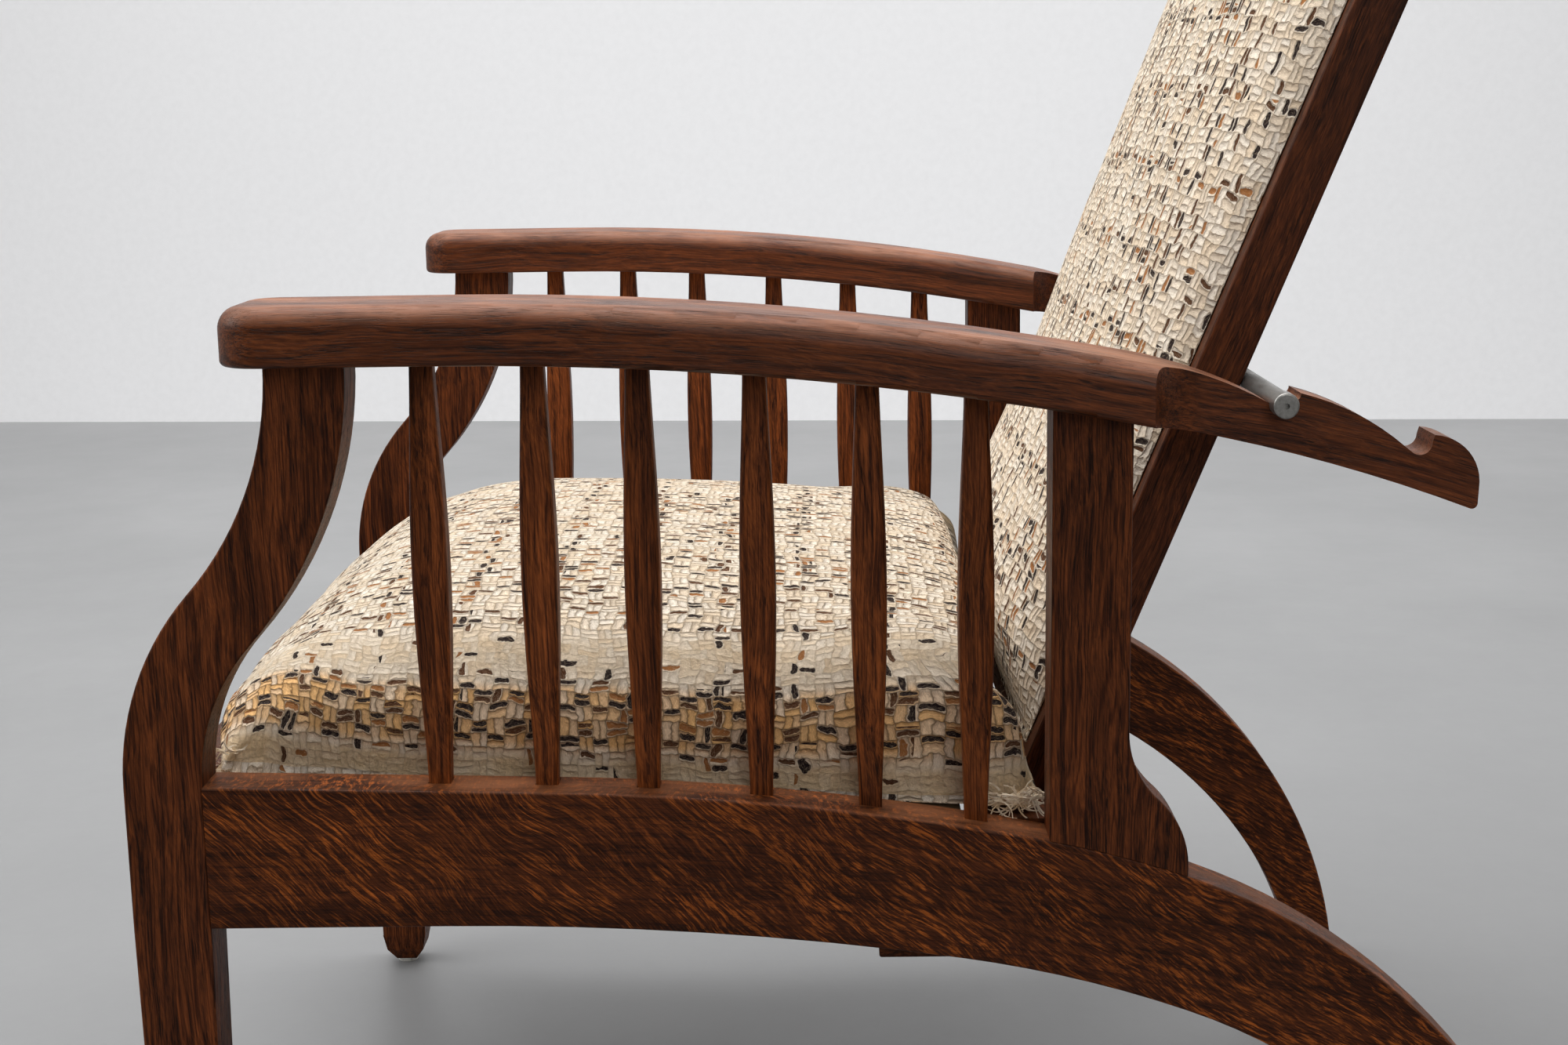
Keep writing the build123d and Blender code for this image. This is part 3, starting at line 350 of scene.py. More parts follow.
finishOf = {"arm": "armOak", "side_rail": "railOak", "front_leg": "legOak", "rear_post": "legOak",
            "post_heel": "legOak", "spindle": "spindleOak", "hinge_block": "crossOak", "back_stile": "stileOak",
            "front_seat_rail": "crossOak", "rear_seat_rail": "crossOak", "back_crest_rail": "crossOak",
            "back_bottom_rail": "crossOak", "back_slat": "crossOak", "seat_frame": "innerWood",
            "seat_cleat": "innerWood"}
for name, node in nodes.items():
    found = [oaks[finish] for word, finish in finishOf.items() if word in name]
    if "rod" in name:
        found = [rodSteel]
    elif "hinge_pin" in name or "washer" in name or "screws" in name:
        found = [hingeSteel]
    elif "webbing" in name:
        found = [juteWebbing]
    elif "glide" in name:
        found = [glideNylon]
    if found:
        for slot in node.material_slots:
            slot.material = found[-1]
print("finishes given to the frame's pieces")


# chunky tweed: pairs of yarns woven as a basket; the vector is in millimetres along the cloth
tweed = {
    # a cell of the basket, and how far its yarns stray slowly and finely
    "across": 8.6, "down": 9.8, "wander": (12.0, 12.0, 0.0), "fray": (2.2, 2.2, 0.0),
    # from the cloth's middle to its near edge, the length before the stripes repeat, and each one's from, to, softness
    "edge": 352.0, "period": 600.0,
    "stripes": {"tan": (18.0, 54.0, 4.0), "lowFelt": (-20.0, 15.0, 4.0), "highFelt": (60.0, 96.0, 8.0),
                "upperDark": (48.0, 57.0, 1.0), "lowerDark": (26.0, 33.0, 1.0)},
    # how often a yarn is dark: least, along some rows, in the tan stripe, in its dark rows, and at the columns
    "chance": {"least": 0.02, "rows": (0.08, 0.85), "tan": 0.17, "darkRows": 0.7, "columns": 0.6}, "columns": 50.0,
    # the felted colour is the felt's tint, and on the lower felt stripe also painted shade
    "cream": (1.0, 0.905, 0.775), "warm": (0.86, 0.67, 0.46), "tan": (1.0, 0.6, 0.26), "feltAndShade": (1.0, 0.75, 0.44),
    # the gap colours are painted shade between the yarns, deeper in the tan stripe
    "gapShade": (0.55, 0.41, 0.26), "deepGapShade": (0.15, 0.08, 0.034), "fibres": ((0.64, 0.6, 0.55), (1.12, 1.12, 1.12)),
    "ink": (0.02, 0.012, 0.013), "brown": (0.1, 0.04, 0.017), "rust": (0.36, 0.145, 0.045)}


def makeTweedGroup(cloth):
    group, given, out = newGroup("chunkyTweed", [
        ("Vector", "Vector", None), ("Shift", "Float", 0.0), ("Bands", "Float", 1.0)],
        [("Color", "Color"), ("Height", "Float"), ("Felt", "Float")])
    vector = given["Vector"]
    wander = addNode(group, "ShaderNodeTexNoise", {"Vector": vector, "Scale": 0.045, "Detail": 3.0})
    moved = addNode(group, "ShaderNodeVectorMath", {0: wander.outputs["Color"], 1: cloth["wander"], 2: vector},
                    operation="MULTIPLY_ADD").outputs[0]
    fray = addNode(group, "ShaderNodeTexNoise", {"Vector": vector, "Scale": 0.35, "Detail": 3.0})
    moved = addNode(group, "ShaderNodeVectorMath", {0: fray.outputs["Color"], 1: cloth["fray"], 2: moved},
                    operation="MULTIPLY_ADD").outputs[0]
    split = addNode(group, "ShaderNodeSeparateXYZ", {0: moved}).outputs
    raw = addNode(group, "ShaderNodeSeparateXYZ", {0: vector}).outputs
    across = calc(group, "DIVIDE", split[0], cloth["across"])
    down = calc(group, "DIVIDE", split[1], cloth["down"])
    cellA = calc(group, "FLOOR", across)
    cellD = calc(group, "FLOOR", down)
    isWeft = calc(group, "FLOORED_MODULO", calc(group, "ADD", cellA, cellD), 2.0)
    weftPart = calc(group, "FRACT", calc(group, "MULTIPLY", across, 2.0))
    warpPart = calc(group, "FRACT", calc(group, "MULTIPLY", down, 2.0))
    weftId = calc(group, "FLOOR", calc(group, "MULTIPLY", across, 2.0))
    warpId = calc(group, "FLOOR", calc(group, "MULTIPLY", down, 2.0))

    def hump(part, power):
        # 0 at both ends of a part and 1 in its middle
        rest = calc(group, "SUBTRACT", 1.0, part)
        return calc(group, "POWER", calc(group, "MULTIPLY", calc(group, "MULTIPLY", part, rest), 4.0), power)

    # a pair lies on top in the middle of its cell and dives under at both ends
    rising = hump(mixValue(group, isWeft, calc(group, "FRACT", across), calc(group, "FRACT", down)), 0.5)
    rising = calc(group, "MULTIPLY_ADD", rising, 0.68, 0.32)
    yarnPart = mixValue(group, isWeft, warpPart, weftPart)
    yarn = hump(yarnPart, 0.9)
    woven = calc(group, "MULTIPLY", rising, calc(group, "MULTIPLY_ADD", yarn, 0.8, 0.2))
    weftHash = addNode(group, "ShaderNodeTexWhiteNoise", {"Vector": joinXYZ(group, weftId, cellD, 3.0)}).outputs
    warpHash = addNode(group, "ShaderNodeTexWhiteNoise", {"Vector": joinXYZ(group, cellA, warpId, 8.0)}).outputs
    tint = mixValue(group, isWeft, warpHash["Value"], weftHash["Value"])
    fibres = mixValue(group, isWeft, stretched(group, moved, (0.45, 2.6, 1.0), 3.0, 0.7),
                      stretched(group, moved, (2.6, 0.45, 1.0), 3.0, 0.7))
    # stripes along the cloth's length, counted from the near lower edge: felted, coarse tan, felted, plain
    wobble = calc(group, "SUBTRACT", stretched(group, vector, (0.02, 0.012, 1.0), 3.0), 0.5)
    fromEdge = calc(group, "MULTIPLY_ADD", wobble, 8.0, calc(group, "ADD", raw[0], cloth["edge"]))
    stripe = calc(group, "FLOORED_MODULO", calc(group, "ADD", fromEdge, given["Shift"]), cloth["period"])

    def stripeMask(name):
        low, high, soft = cloth["stripes"][name]
        inside = calc(group, "MULTIPLY", fit(group, stripe, low - soft, low + soft),
                      fit(group, stripe, high + soft, high - soft))
        return calc(group, "MULTIPLY", inside, given["Bands"])

    tanStripe = stripeMask("tan")
    lowFelt = stripeMask("lowFelt")
    feltStripes = calc(group, "MAXIMUM", lowFelt, stripeMask("highFelt"))
    feltPatch = fit(group, stretched(group, vector, (0.035, 0.025, 1.0), 3.0, 0.6), 0.4, 0.62, 0.55, 1.0)
    felt = calc(group, "MULTIPLY", feltStripes, feltPatch)
    wool = stretched(group, moved, (0.42, 0.3, 1.0), 5.0, 0.75)
    color = blendColor(group, fit(group, tint, 0.3, 1.0, 0.0, 0.7), cloth["cream"], cloth["warm"])
    tanned = calc(group, "MULTIPLY", tanStripe, fit(group, tint, 0.1, 0.9, 0.4, 1.0))
    color = blendColor(group, tanned, color, cloth["tan"])
    # the felted colour lies on every felt stripe, and more heavily on the lower one as painted shade
    feltTintAndShade = calc(group, "MULTIPLY", felt, calc(group, "MULTIPLY_ADD", lowFelt, 0.55, 0.35))
    color = blendColor(group, feltTintAndShade, color, cloth["feltAndShade"])
    streaks = mixValue(group, felt, fibres, wool)
    shade = blendColor(group, fit(group, streaks, 0.3, 0.7), *cloth["fibres"])
    color = blendColor(group, 1.0, color, shade, "MULTIPLY")
    # painted shade in the gaps where the yarns dive under, weaker on felt, and weaker where the stripes are faint,
    # which paints the back cushion lighter
    gapShade = fit(group, woven, 0.6, 0.14)
    gapShade = calc(group, "MULTIPLY", gapShade, calc(group, "MULTIPLY_ADD", felt, -0.6, 0.85))
    gapShade = calc(group, "MULTIPLY", gapShade, calc(group, "MULTIPLY_ADD", given["Bands"], 0.45, 0.5))
    color = blendColor(group, gapShade, color, blendColor(group, tanStripe, cloth["gapShade"], cloth["deepGapShade"]))
    # dark yarns show where they float: some weft yarns, and a warp yarn or two at each column
    rowNoise = addNode(group, "ShaderNodeTexWhiteNoise", {"W": weftId}, noise_dimensions="1D").outputs["Value"]
    darkRows = calc(group, "MAXIMUM", stripeMask("upperDark"), stripeMask("lowerDark"))
    thick = fit(group, stretched(group, vector, (0.03, 0.016, 1.0), 2.0), 0.35, 0.6, 0.35, 1.0)
    often = cloth["chance"]
    weftChance = calc(group, "MULTIPLY", fit(group, rowNoise, 0.42, 0.5, *often["rows"]), thick)
    weftChance = calc(group, "MULTIPLY_ADD", tanStripe, often["tan"], weftChance)
    weftChance = calc(group, "MULTIPLY_ADD", darkRows, often["darkRows"], weftChance)
    weftChance = calc(group, "MULTIPLY_ADD", weftChance, calc(group, "MULTIPLY_ADD", felt, -0.85, 1.0),
                      often["least"])
    along = calc(group, "MULTIPLY_ADD", wobble, 10.0, raw[1])
    wave = calc(group, "SINE", calc(group, "MULTIPLY", along, 2 * pi / cloth["columns"]))
    columns = calc(group, "MULTIPLY", fit(group, wave, 0.7, 0.84), calc(group, "MULTIPLY_ADD", felt, -0.7, 1.0))
    warpChance = calc(group, "MULTIPLY_ADD", calc(group, "MULTIPLY", columns, thick), often["columns"],
                      often["least"])
    isDark = mixValue(group, isWeft, calc(group, "LESS_THAN", warpHash["Value"], warpChance),
                      calc(group, "LESS_THAN", weftHash["Value"], weftChance))
    dark = calc(group, "MULTIPLY", isDark, fit(group, calc(group, "MULTIPLY", rising, yarn), 0.44, 0.6))
    pick = addNode(group, "ShaderNodeSeparateColor",
                   {0: blendColor(group, isWeft, warpHash["Color"], weftHash["Color"])}).outputs
    darkColor = blendColor(group, calc(group, "GREATER_THAN", pick[1], 0.6), cloth["ink"], cloth["brown"])
    darkColor = blendColor(group, calc(group, "GREATER_THAN", pick[2], 0.78), darkColor, cloth["rust"])
    darkColor = blendColor(group, fit(group, fibres, 0.5, 0.8, 0.0, 0.5), darkColor, cloth["warm"])
    color = blendColor(group, dark, color, darkColor)
    height = mixValue(group, calc(group, "MULTIPLY", felt, 0.7), woven, calc(group, "MULTIPLY", wool, 1.5))
    height = calc(group, "ADD", height, calc(group, "MULTIPLY", fibres, 0.3))
    group.links.new(color, out["Color"])
    group.links.new(height, out["Height"])
    group.links.new(felt, out["Felt"])
    return group


tweedGroup = makeTweedGroup(tweed)


def makeTweed(name, shift, bands, depth):
    material, tree, shader = newMaterial(name)
    cloth = addNode(tree, "ShaderNodeUVMap", uv_map="cloth").outputs[0]
    vector = addNode(tree, "ShaderNodeVectorMath", {0: cloth, "Scale": 1000.0}, operation="SCALE").outputs[0]
    weave = useGroup(tree, tweedGroup, {"Vector": vector, "Shift": shift, "Bands": bands})
    tree.links.new(weave["Color"], shader.inputs["Base Color"])
    tree.links.new(fit(tree, weave["Felt"], 0.0, 1.0, 0.86, 0.97), shader.inputs["Roughness"])
    shader.inputs["Sheen Weight"].default_value = 0.02
    shader.inputs["Sheen Roughness"].default_value = 0.5
    shader.inputs["Specular IOR Level"].default_value = 0.05
    addBump(tree, shader, weave["Height"], depth, 1.0)
    return material


seatTweed = makeTweed("seatTweed", 0.0, 1.0, 0.0036)
backTweed = makeTweed("backTweed", 60.0, 0.2, 0.0028)
print("tweed made")


# cushions: a domed upper panel and a flat under panel, sewn together round their edge
def evenly(points, count):
    # points spaced evenly along a line through the given ones
    points = np.array(points, float)
    steps = np.r_[0, np.cumsum(np.hypot(*np.diff(points, axis=0).T))]
    places = np.linspace(0, steps[-1], count)
    return np.stack([np.interp(places, steps, points[:, k]) for k in range(points.shape[1])], 1)


def softened(points, rounds):
    points = np.array(points, float)
    for _ in range(rounds):
        points[1:-1] = 0.5 * points[1:-1] + 0.25 * (points[:-2] + points[2:])
    return points


def ripple(x, y, seed):
    # the gentle unevenness of a filling, from waves of three lengths in metres
    generator = np.random.default_rng(seed)
    total = np.zeros_like(x)
    for size, share in ((0.16, 1.0), (0.085, 0.6), (0.045, 0.35)):
        for _ in range(4):
            turn = generator.uniform(0, 2 * pi)
            total += share * np.sin((x * cos(turn) + y * sin(turn)) * 2 * pi / size + generator.uniform(0, 2 * pi))
    return total / 4


def domePanel(shape):
    # grid of points: rows run along the profile, and columns over the width
    profile = softened(evenly(shape["profile"], shape["along"]), shape["soften"])
    profile = evenly(profile, shape["along"])
    turns = np.linspace(0, pi, shape["across"])
    side = np.sign(np.cos(turns)) * np.abs(np.cos(turns))**shape["sideShare"]
    lift = np.sin(turns)**shape["crownShare"]
    outline = evenly(np.stack([side * shape["halfWidth"], lift * shape["height"]], 1), shape["across"])
    side = outline[:, 0] / shape["halfWidth"]
    lift = np.clip(outline[:, 1] / shape["height"], 0, 1)
    x = np.repeat(side[None, :], len(profile), 0) * shape["halfWidth"]
    along = np.repeat(profile[:, :1], len(side), 1)
    rise = profile[:, 1:2] * lift[None, :] * shape["height"]
    middle = (profile[:, 0].min() + profile[:, 0].max()) / 2
    along = middle + (along - middle) * (1 - shape["endPull"] * np.abs(side[None, :])**6)
    ends = np.abs((along - middle) / (profile[:, 0].max() - middle))
    x = x * (1 - shape["sidePull"] * ends**6)
    rise = rise + shape["ripple"] * ripple(x, along, shape["seed"]) * np.minimum(rise / (0.3 * shape["height"]), 1)
    return np.stack([x, along, np.maximum(rise, 0)], 2)


def clothLengths(grid):
    # distances along the cloth, counted from its middle row and column, with the columns level at the near edge
    rows, columns, _ = grid.shape
    overWidth = np.zeros((rows, columns))
    overWidth[:, 1:] = np.cumsum(np.linalg.norm(np.diff(grid, axis=1), axis=2), 1)
    overWidth -= overWidth[rows // 2, columns // 2]
    overLength = np.zeros((rows, columns))
    overLength[1:] = np.cumsum(np.linalg.norm(np.diff(grid, axis=0), axis=2), 0)
    overLength -= overLength[rows // 2][None, :]
    return np.stack([overWidth, overLength], 2)


def sewCushion(name, shape, place):
    top = domePanel(shape)
    rows, columns, _ = top.shape
    under = top.copy()
    under[:, :, 2] = 0
    lengths = [clothLengths(top), clothLengths(under)]
    index = {}
    points, faces, marks = [], [], []
    for panel, grid in enumerate((top, under)):
        for r in range(rows):
            for c in range(columns):
                edge = r in (0, rows - 1) or c in (0, columns - 1)
                if panel == 1 and edge:
                    index[panel, r, c] = index[0, r, c]
                else:
                    index[panel, r, c] = len(points)
                    points.append(place(*grid[r, c]))
    for panel in (0, 1):
        for r in range(rows - 1):
            for c in range(columns - 1):
                corners = [(r, c), (r, c + 1), (r + 1, c + 1), (r + 1, c)]
                if panel == 1:
                    corners.reverse()
                faces.append([index[panel, a, b] for a, b in corners])
                marks.append([tuple(lengths[panel][a, b]) for a, b in corners])
    mesh = bpy.data.meshes.new(name)
    mesh.from_pydata([tuple(p) for p in points], [], faces)
    layer = mesh.uv_layers.new(name="cloth")
    layer.data.foreach_set("uv", np.array(marks, np.float32).ravel())
    mesh.polygons.foreach_set("use_smooth", [True] * len(faces))
    made = bpy.data.objects.new(name, mesh)
    scene.collection.objects.link(made)
    pinned = made.vertex_groups.new(name="seam")
    for panel in (0, 1):
        for r in range(rows):
            for c in range(columns):
                if panel == 1 or r in (0, rows - 1) or c in (0, columns - 1):
                    pinned.add([index[panel, r, c]], 1.0, "REPLACE")
    return made


filling = {"pressure": 3.0, "steps": 20, "quality": 4, "stiffness": 12, "bending": 1.5, "shrink": -0.012,
           "most": 0.003}


def fillWithAir(piece):
    # inflate the cover a little, and keep every point near where it began
    start = np.zeros(len(piece.data.vertices) * 3, np.float32)
    piece.data.vertices.foreach_get("co", start)
    cloth = piece.modifiers.new("filling", "CLOTH")
    settings = cloth.settings
    settings.use_pressure = True
    settings.uniform_pressure_force = filling["pressure"]
    settings.effector_weights.gravity = 0.0
    settings.vertex_group_mass = "seam"
    settings.quality = filling["quality"]
    settings.tension_stiffness = filling["stiffness"]
    settings.compression_stiffness = filling["stiffness"]
    settings.bending_stiffness = filling["bending"]
    settings.shrink_min = filling["shrink"]
    cloth.collision_settings.use_collision = False
    for step in range(filling["steps"]):
        scene.frame_set(step + 1)
    graph = bpy.context.evaluated_depsgraph_get()
    blown = piece.evaluated_get(graph).to_mesh()
    moved = np.zeros(len(start), np.float32)
    blown.vertices.foreach_get("co", moved)
    piece.modifiers.remove(cloth)
    scene.frame_set(1)
    shift = (moved - start).reshape(-1, 3)
    far = np.linalg.norm(shift, axis=1, keepdims=True)
    shift *= np.minimum(1, filling["most"] / np.maximum(far, 1e-9))
    piece.data.vertices.foreach_set("co", (start.reshape(-1, 3) + shift).ravel())
    piece.data.update()
    print(piece.name, "filled, largest move", round(float(far.max()) * 1000, 1), "mm, mean lift",
          round(float(shift[:, 2].mean()) * 1000, 2), "mm")


def smoothed(piece):
    finer = piece.modifiers.new("finer", "SUBSURF")
    finer.levels = finer.render_levels = 1
    graph = bpy.context.evaluated_depsgraph_get()
    mesh = bpy.data.meshes.new_from_object(piece.evaluated_get(graph), preserve_all_data_layers=True, depsgraph=graph)
    piece.modifiers.clear()
    piece.data = mesh


def clampTo(piece, limit):
    # limit takes an array of points and returns it inside the free room
    points = np.zeros(len(piece.data.vertices) * 3, np.float32)
    piece.data.vertices.foreach_get("co", points)
    piece.data.vertices.foreach_set("co", limit(points.reshape(-1, 3)).astype(np.float32).ravel())
    piece.data.update()


seat = {"front": -0.3757, "height": 0.363, "pitch": radians(3.2)}  # where the seat plane starts
seatShape = {"halfWidth": 0.2955, "height": 0.109, "along": 78, "across": 104, "soften": 3, "sideShare": 0.66,
             "crownShare": 0.62, "endPull": 0.02, "sidePull": 0.012, "ripple": 0.0012, "seed": 4,
             "profile": [(-0.3745, 0.0), (-0.381, 0.06), (-0.3825, 0.16), (-0.377, 0.33), (-0.363, 0.48),
                         (-0.345, 0.61), (-0.324, 0.73), (-0.299, 0.83), (-0.267, 0.915), (-0.22, 0.97),
                         (-0.15, 1.0), (-0.06, 0.99),
                         (0.0, 0.97), (0.036, 0.945), (0.059, 0.9), (0.0695, 0.83), (0.073, 0.74), (0.0745, 0.61),
                         (0.0765, 0.43), (0.0795, 0.24), (0.081, 0.1), (0.0795, 0.0)]}


# where each corner's change begins and how far on it is full, out from the middle and then along the seat
seatCorners = {"rear": {"out": (0.2, 0.06), "along": (-0.05, 0.08), "plump": 0.2},
               "beside": {"out": (0.266, 0.014), "along": (-0.01, 0.06), "reach": 0.019},
               "front": {"out": (0.2, 0.08), "along": (-0.29, -0.06), "plump": 0.3, "pull": 0.008,
                         "pullOut": (0.24, 0.05)}}


def ramp(value, begin, over):
    return np.clip((value - begin) / over, 0, 1)


def onSeat(x, y, rise):
    # all four corners are plump, and the rear ones reach back beside the stiles
    rear, beside, front = (ramp(abs(x), *corner["out"]) * ramp(y, *corner["along"])
                           for corner in seatCorners.values())
    rise = rise * (1 + seatCorners["rear"]["plump"] * rear + seatCorners["front"]["plump"] * front)
    y = y + seatCorners["front"]["pull"] * front * ramp(abs(x), *seatCorners["front"]["pullOut"])
    y = y + seatCorners["beside"]["reach"] * beside
    return x, y, seat["height"] - (y - seat["front"]) * np.tan(seat["pitch"]) + rise


pivot = {"y": 0.088918, "z": 0.312}  # the hinge of the back
backShape = {"halfWidth": 0.2465, "height": 0.0535, "along": 104, "across": 90, "soften": 2, "sideShare": 0.95,
             "crownShare": 0.85, "endPull": 0.008, "sidePull": 0.02, "ripple": 0.001, "seed": 9,
             "profile": [(0.0425, 0.0), (0.048, 0.15), (0.057, 0.32), (0.068, 0.5), (0.08, 0.66), (0.094, 0.79),
                         (0.11, 0.875), (0.135, 0.885), (0.17, 0.85), (0.21, 0.825), (0.257, 0.82), (0.29, 0.85),
                         (0.34, 0.885), (0.376, 0.91), (0.43, 0.925), (0.5, 0.95), (0.64, 0.96), (0.69, 0.9),
                         (0.72, 0.75), (0.738, 0.5), (0.7465, 0.22), (0.745, 0.0)]}
stileFront = 0.01375 + 0.0006  # half a stile's depth, and a little room
roomFor = {"seat": 0.301, "back": 0.2475, "over": 0.0004}  # how far the cushions may reach to each side and down


def onBack(x, up, rise):
    forward = stileFront + rise
    return (x, pivot["y"] + up * sin(backLean) - forward * cos(backLean),
            pivot["z"] + up * cos(backLean) + forward * sin(backLean))


def keepOnSeat(points):
    points = points.copy()
    points[:, 0] = np.clip(points[:, 0], -roomFor["seat"], roomFor["seat"])
    floor = seat["height"] - (points[:, 1] - seat["front"]) * np.tan(seat["pitch"])
    points[:, 2] = np.maximum(points[:, 2], floor + roomFor["over"])
    return points


def keepOnBack(points):
    points = points.copy()
    points[:, 0] = np.clip(points[:, 0], -roomFor["back"], roomFor["back"])
    y = points[:, 1] - pivot["y"]
    z = points[:, 2] - pivot["z"]
    forward = -y * cos(backLean) + z * sin(backLean)
    lack = np.maximum(stileFront - forward, 0)
    points[:, 1] -= lack * cos(backLean)
    points[:, 2] += lack * sin(backLean)
    return points


def giveWay(piece):
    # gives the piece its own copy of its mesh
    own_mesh(piece)


seatCushion = sewCushion("seatCushion", seatShape, onSeat)
backCushion = sewCushion("backCushion", backShape, onBack)
for piece, keepInside in ((seatCushion, keepOnSeat), (backCushion, keepOnBack)):
    fillWithAir(piece)
    smoothed(piece)
    clampTo(piece, keepInside)
seatCushion.data.materials.append(seatTweed)
backCushion.data.materials.append(backTweed)
for piece, node, body in ((seatCushion, "seat_cushion", "frame"), (backCushion, "back_cushion", "back")):
    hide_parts(node)
    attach(piece, body)
giveWay(backCushion)
print("cushions made")

# wool hairs that stand off the cloth, and frayed yarns at two corners of the seat cushion
fuzz = {"hairs": {"seatCushion": 4200, "backCushion": 3600}, "length": (0.003, 0.0075), "radius": 0.00014,
        "steps": (0, 0.35, 0.7, 1.0), "lay": 0.8, "droop": 0.75, "thinning": 0.6}
frays = {"places": [((0.3, 0.086, 0.3445), 64, 0.017), ((0.2975, -0.3665, 0.376), 14, 0.011)],  # at, count, length
         "radius": 0.0008, "steps": 7}


def addTube(points, faces, path, radius):
    # a three-sided tube that thins toward its end
    first = len(points)
    for number, at in enumerate(path):
        ahead = path[min(number + 1, len(path) - 1)] - path[max(number - 1, 0)]
        aside = np.cross(ahead, (0.3, 0.5, 0.8))
        aside /= np.linalg.norm(aside) + 1e-9
        above = np.cross(ahead, aside)
        above /= np.linalg.norm(above) + 1e-9
        thin = radius * (1 - fuzz["thinning"] * number / (len(path) - 1))
        for turn in (0, 2 * pi / 3, 4 * pi / 3):
            points.append(at + thin * (cos(turn) * aside + sin(turn) * above))
    for number in range(len(path) - 1):
        for corner in range(3):
            low = first + 3 * number
            after = (corner + 1) % 3
            faces.append((low + corner, low + after, low + 3 + after, low + 3 + corner))


def makeHairs(name, points, faces, material, body):
    mesh = bpy.data.meshes.new(name)
    mesh.from_pydata([tuple(point) for point in points], [], faces)
    mesh.materials.append(material)
    made = bpy.data.objects.new(name, mesh)
    scene.collection.objects.link(made)
    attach(made, body)
    if body == "back":
        giveWay(made)


def makeWool(name):
    material, tree, shader = newMaterial(name)
    place = addNode(tree, "ShaderNodeTexCoord").outputs["Object"]
    tone = stretched(tree, place, (90.0, 90.0, 90.0), 3.0, 0.6)
    tree.links.new(blendColor(tree, fit(tree, tone, 0.35, 0.65), (0.92, 0.82, 0.66), (0.6, 0.44, 0.27)),
                   shader.inputs["Base Color"])
    tree.links.new(fit(tree, tone, 0.3, 0.7, 0.85, 0.95), shader.inputs["Roughness"])
    shader.inputs["Specular IOR Level"].default_value = 0.1
    return material


wool = makeWool("looseWool")
chance = np.random.default_rng(21)
for piece, body in ((seatCushion, "frame"), (backCushion, "back")):
    points, faces = [], []
    pads = [face for face in piece.data.polygons if face.center.z > seat["height"] - 0.02]
    for number in chance.integers(0, len(pads), fuzz["hairs"][piece.name]):
        at, out = np.array(pads[number].center), np.array(pads[number].normal)
        lean = chance.normal(0, 1, 3)
        lean -= out * lean.dot(out)
        lean /= np.linalg.norm(lean)
        length = chance.uniform(*fuzz["length"])
        path = [at + length * (step * lean * fuzz["lay"] + step * (1 - fuzz["droop"] * step) * out)
                for step in fuzz["steps"]]
        addTube(points, faces, path, fuzz["radius"])
    makeHairs(piece.name + "Hairs", points, faces, wool, body)
points, faces = [], []
for center, count, length in frays["places"]:
    for _ in range(count):
        at = np.array(center) + chance.normal(0, 1, 3) * (0.001, length * 0.5, 0.0025)
        way = np.array((0.1, chance.normal(0, 1), chance.uniform(-0.7, 0.5)))
        way *= length / np.linalg.norm(way) * chance.uniform(0.5, 1.0)
        curl = np.cross(way, (1, 0, 0)) * chance.uniform(-0.6, 0.6)
        path = [at + step * way + step * (1 - step) * curl * 2 for step in np.linspace(0, 1, frays["steps"])]
        addTube(points, faces, path, frays["radius"])
makeHairs("frayedYarns", points, faces, wool, "frame")
print("wool hairs and frayed yarns made")

# floor and wall
room = {"wallX": -3.52, "turn": radians(-4.72), "width": 11.0, "front": 5.0, "tall": 4.5,
        "floor": (0.247, 0.249, 0.252), "wall": (0.63, 0.63, 0.638)}


def makeRoomFinishAndPaintedLight(name, color, patch):
    material, tree, shader = newMaterial(name)
    place = addNode(tree, "ShaderNodeTexCoord").outputs["Object"]
    clouds = stretched(tree, place, (1.3, 1.3, 1.3), 5.0, 0.6)
    specks = stretched(tree, place, (60.0, 60.0, 60.0), 3.0, 0.6)
    where = addNode(tree, "ShaderNodeSeparateXYZ", {0: place}).outputs
    # painted light and shade: darker up the wall, paler toward it along the floor, and a little darker again toward
    # the camera
    paintedLightFalloff = calc(tree, "MULTIPLY", fit(tree, where[2], 0.0, 1.0, 1.0, 0.85),
                 fit(tree, where[0], -3.4, -1.6, 1.35, 1.0))
    paintedLightFalloff = calc(tree, "MULTIPLY", paintedLightFalloff, fit(tree, where[0], -1.6, 0.6, 1.0, 0.93))
    darker = tuple(value * patch for value in color)
    mottled = blendColor(tree, fit(tree, clouds, 0.3, 0.7), color, darker)
    mottled = blendColor(tree, 1.0, mottled, joinXYZ(tree, paintedLightFalloff, paintedLightFalloff, paintedLightFalloff), "MULTIPLY")
    finish = blendColor(tree, fit(tree, specks, 0.35, 0.75, 0.0, 0.06), mottled, (0.3, 0.3, 0.3))
    tree.links.new(finish, shader.inputs["Base Color"])
    tree.links.new(fit(tree, clouds, 0.3, 0.7, 0.32, 0.5), shader.inputs["Roughness"])
    shader.inputs["Specular IOR Level"].default_value = 0.5
    addBump(tree, shader, specks, 0.0004, 0.3)
    return material


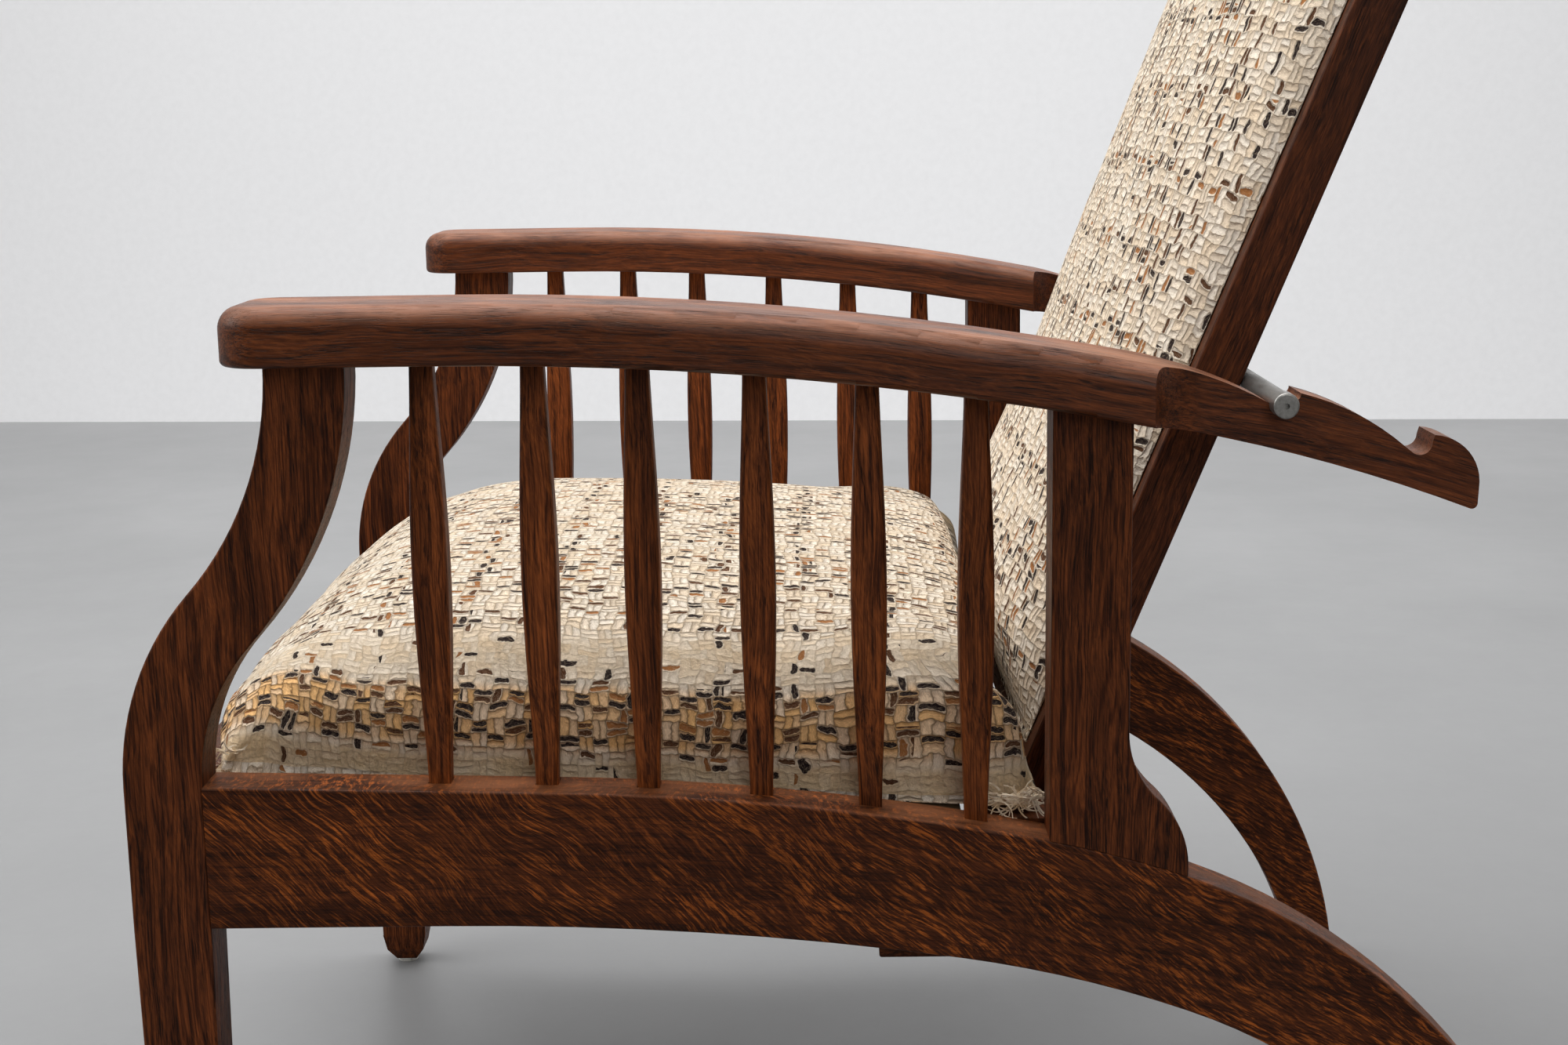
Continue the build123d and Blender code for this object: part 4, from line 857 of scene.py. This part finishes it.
def makeRoom():
    outline = [(room["front"], 0.0), (room["wallX"], 0.0), (room["wallX"], room["tall"])]
    points = [(x, side * room["width"] / 2, z) for x, z in outline for side in (-1, 1)]
    faces = [(2 * i, 2 * i + 2, 2 * i + 3, 2 * i + 1) for i in range(len(outline) - 1)]
    mesh = bpy.data.meshes.new("room")
    mesh.from_pydata(points, [], faces)
    mesh.materials.append(makeRoomFinishAndPaintedLight("floorFinishAndPaintedLight", room["floor"], 0.93))
    mesh.materials.append(makeRoomFinishAndPaintedLight("wallFinishAndPaintedLight", room["wall"], 0.98))
    for number, face in enumerate(mesh.polygons):
        face.material_index = 0 if number == 0 else 1
    made = bpy.data.objects.new("room", mesh)
    made.rotation_euler[2] = room["turn"]
    scene.collection.objects.link(made)


makeRoom()

# light and camera
world = bpy.data.worlds.new("studio")
scene.world = world
world.use_nodes = True
sky = world.node_tree
around = addNode(sky, "ShaderNodeTexCoord").outputs["Generated"]
toward = addNode(sky, "ShaderNodeSeparateXYZ", {0: around}).outputs[0]
background = sky.nodes["Background"]
background.inputs[0].default_value = (1.0, 0.985, 0.97, 1)
sky.links.new(fit(sky, toward, -0.5, 0.8, 0.62, 0.12), background.inputs[1])

lamps = {
    "overhead": {"at": (-0.3, -0.3, 3.2), "to": (0.0, 0.0, 0.3), "size": (3.0, 3.0), "power": 96},
    "frontLeft": {"at": (0.6, -3.4, 2.4), "to": (0.0, 0.0, 0.4), "size": (2.4, 2.0), "power": 60},
    "cameraSide": {"at": (3.6, 0.8, 2.2), "to": (0.0, 0.0, 0.4), "size": (2.0, 2.0), "power": 33},
    "wallWash": {"at": (-1.1, -0.2, 3.0), "to": (-3.52, 0.0, 0.2), "size": (7.0, 1.0), "power": 100},
}
for name, lamp in lamps.items():
    light = bpy.data.lights.new(name, "AREA")
    light.shape = "RECTANGLE"
    light.size, light.size_y = lamp["size"]
    light.energy = lamp["power"]
    made = bpy.data.objects.new(name, light)
    made.location = lamp["at"]
    made.rotation_euler = (Vector(lamp["to"]) - Vector(lamp["at"])).to_track_quat("-Z", "Y").to_euler()
    scene.collection.objects.link(made)

view = {"at": (1.47793, -0.0285, 0.7334), "yaw": -0.015, "pitch": 0.1919, "roll": -0.0162, "lens": 50.0}


def makeCamera():
    forward = Vector((-cos(view["yaw"]) * cos(view["pitch"]), sin(view["yaw"]) * cos(view["pitch"]),
                      -sin(view["pitch"])))
    level = forward.cross(Vector((0, 0, 1))).normalized()
    upright = level.cross(forward)
    right = level * cos(view["roll"]) + upright * sin(view["roll"])
    up = upright * cos(view["roll"]) - level * sin(view["roll"])
    data = bpy.data.cameras.new("camera")
    data.lens = view["lens"]
    data.sensor_width = 36.0
    data.clip_end = 50.0
    made = bpy.data.objects.new("camera", data)
    turn = Matrix((right, up, -forward)).transposed()
    made.matrix_world = Matrix.Translation(view["at"]) @ turn.to_4x4()
    scene.collection.objects.link(made)
    scene.camera = made


makeCamera()
scene.view_settings.view_transform = "Standard"
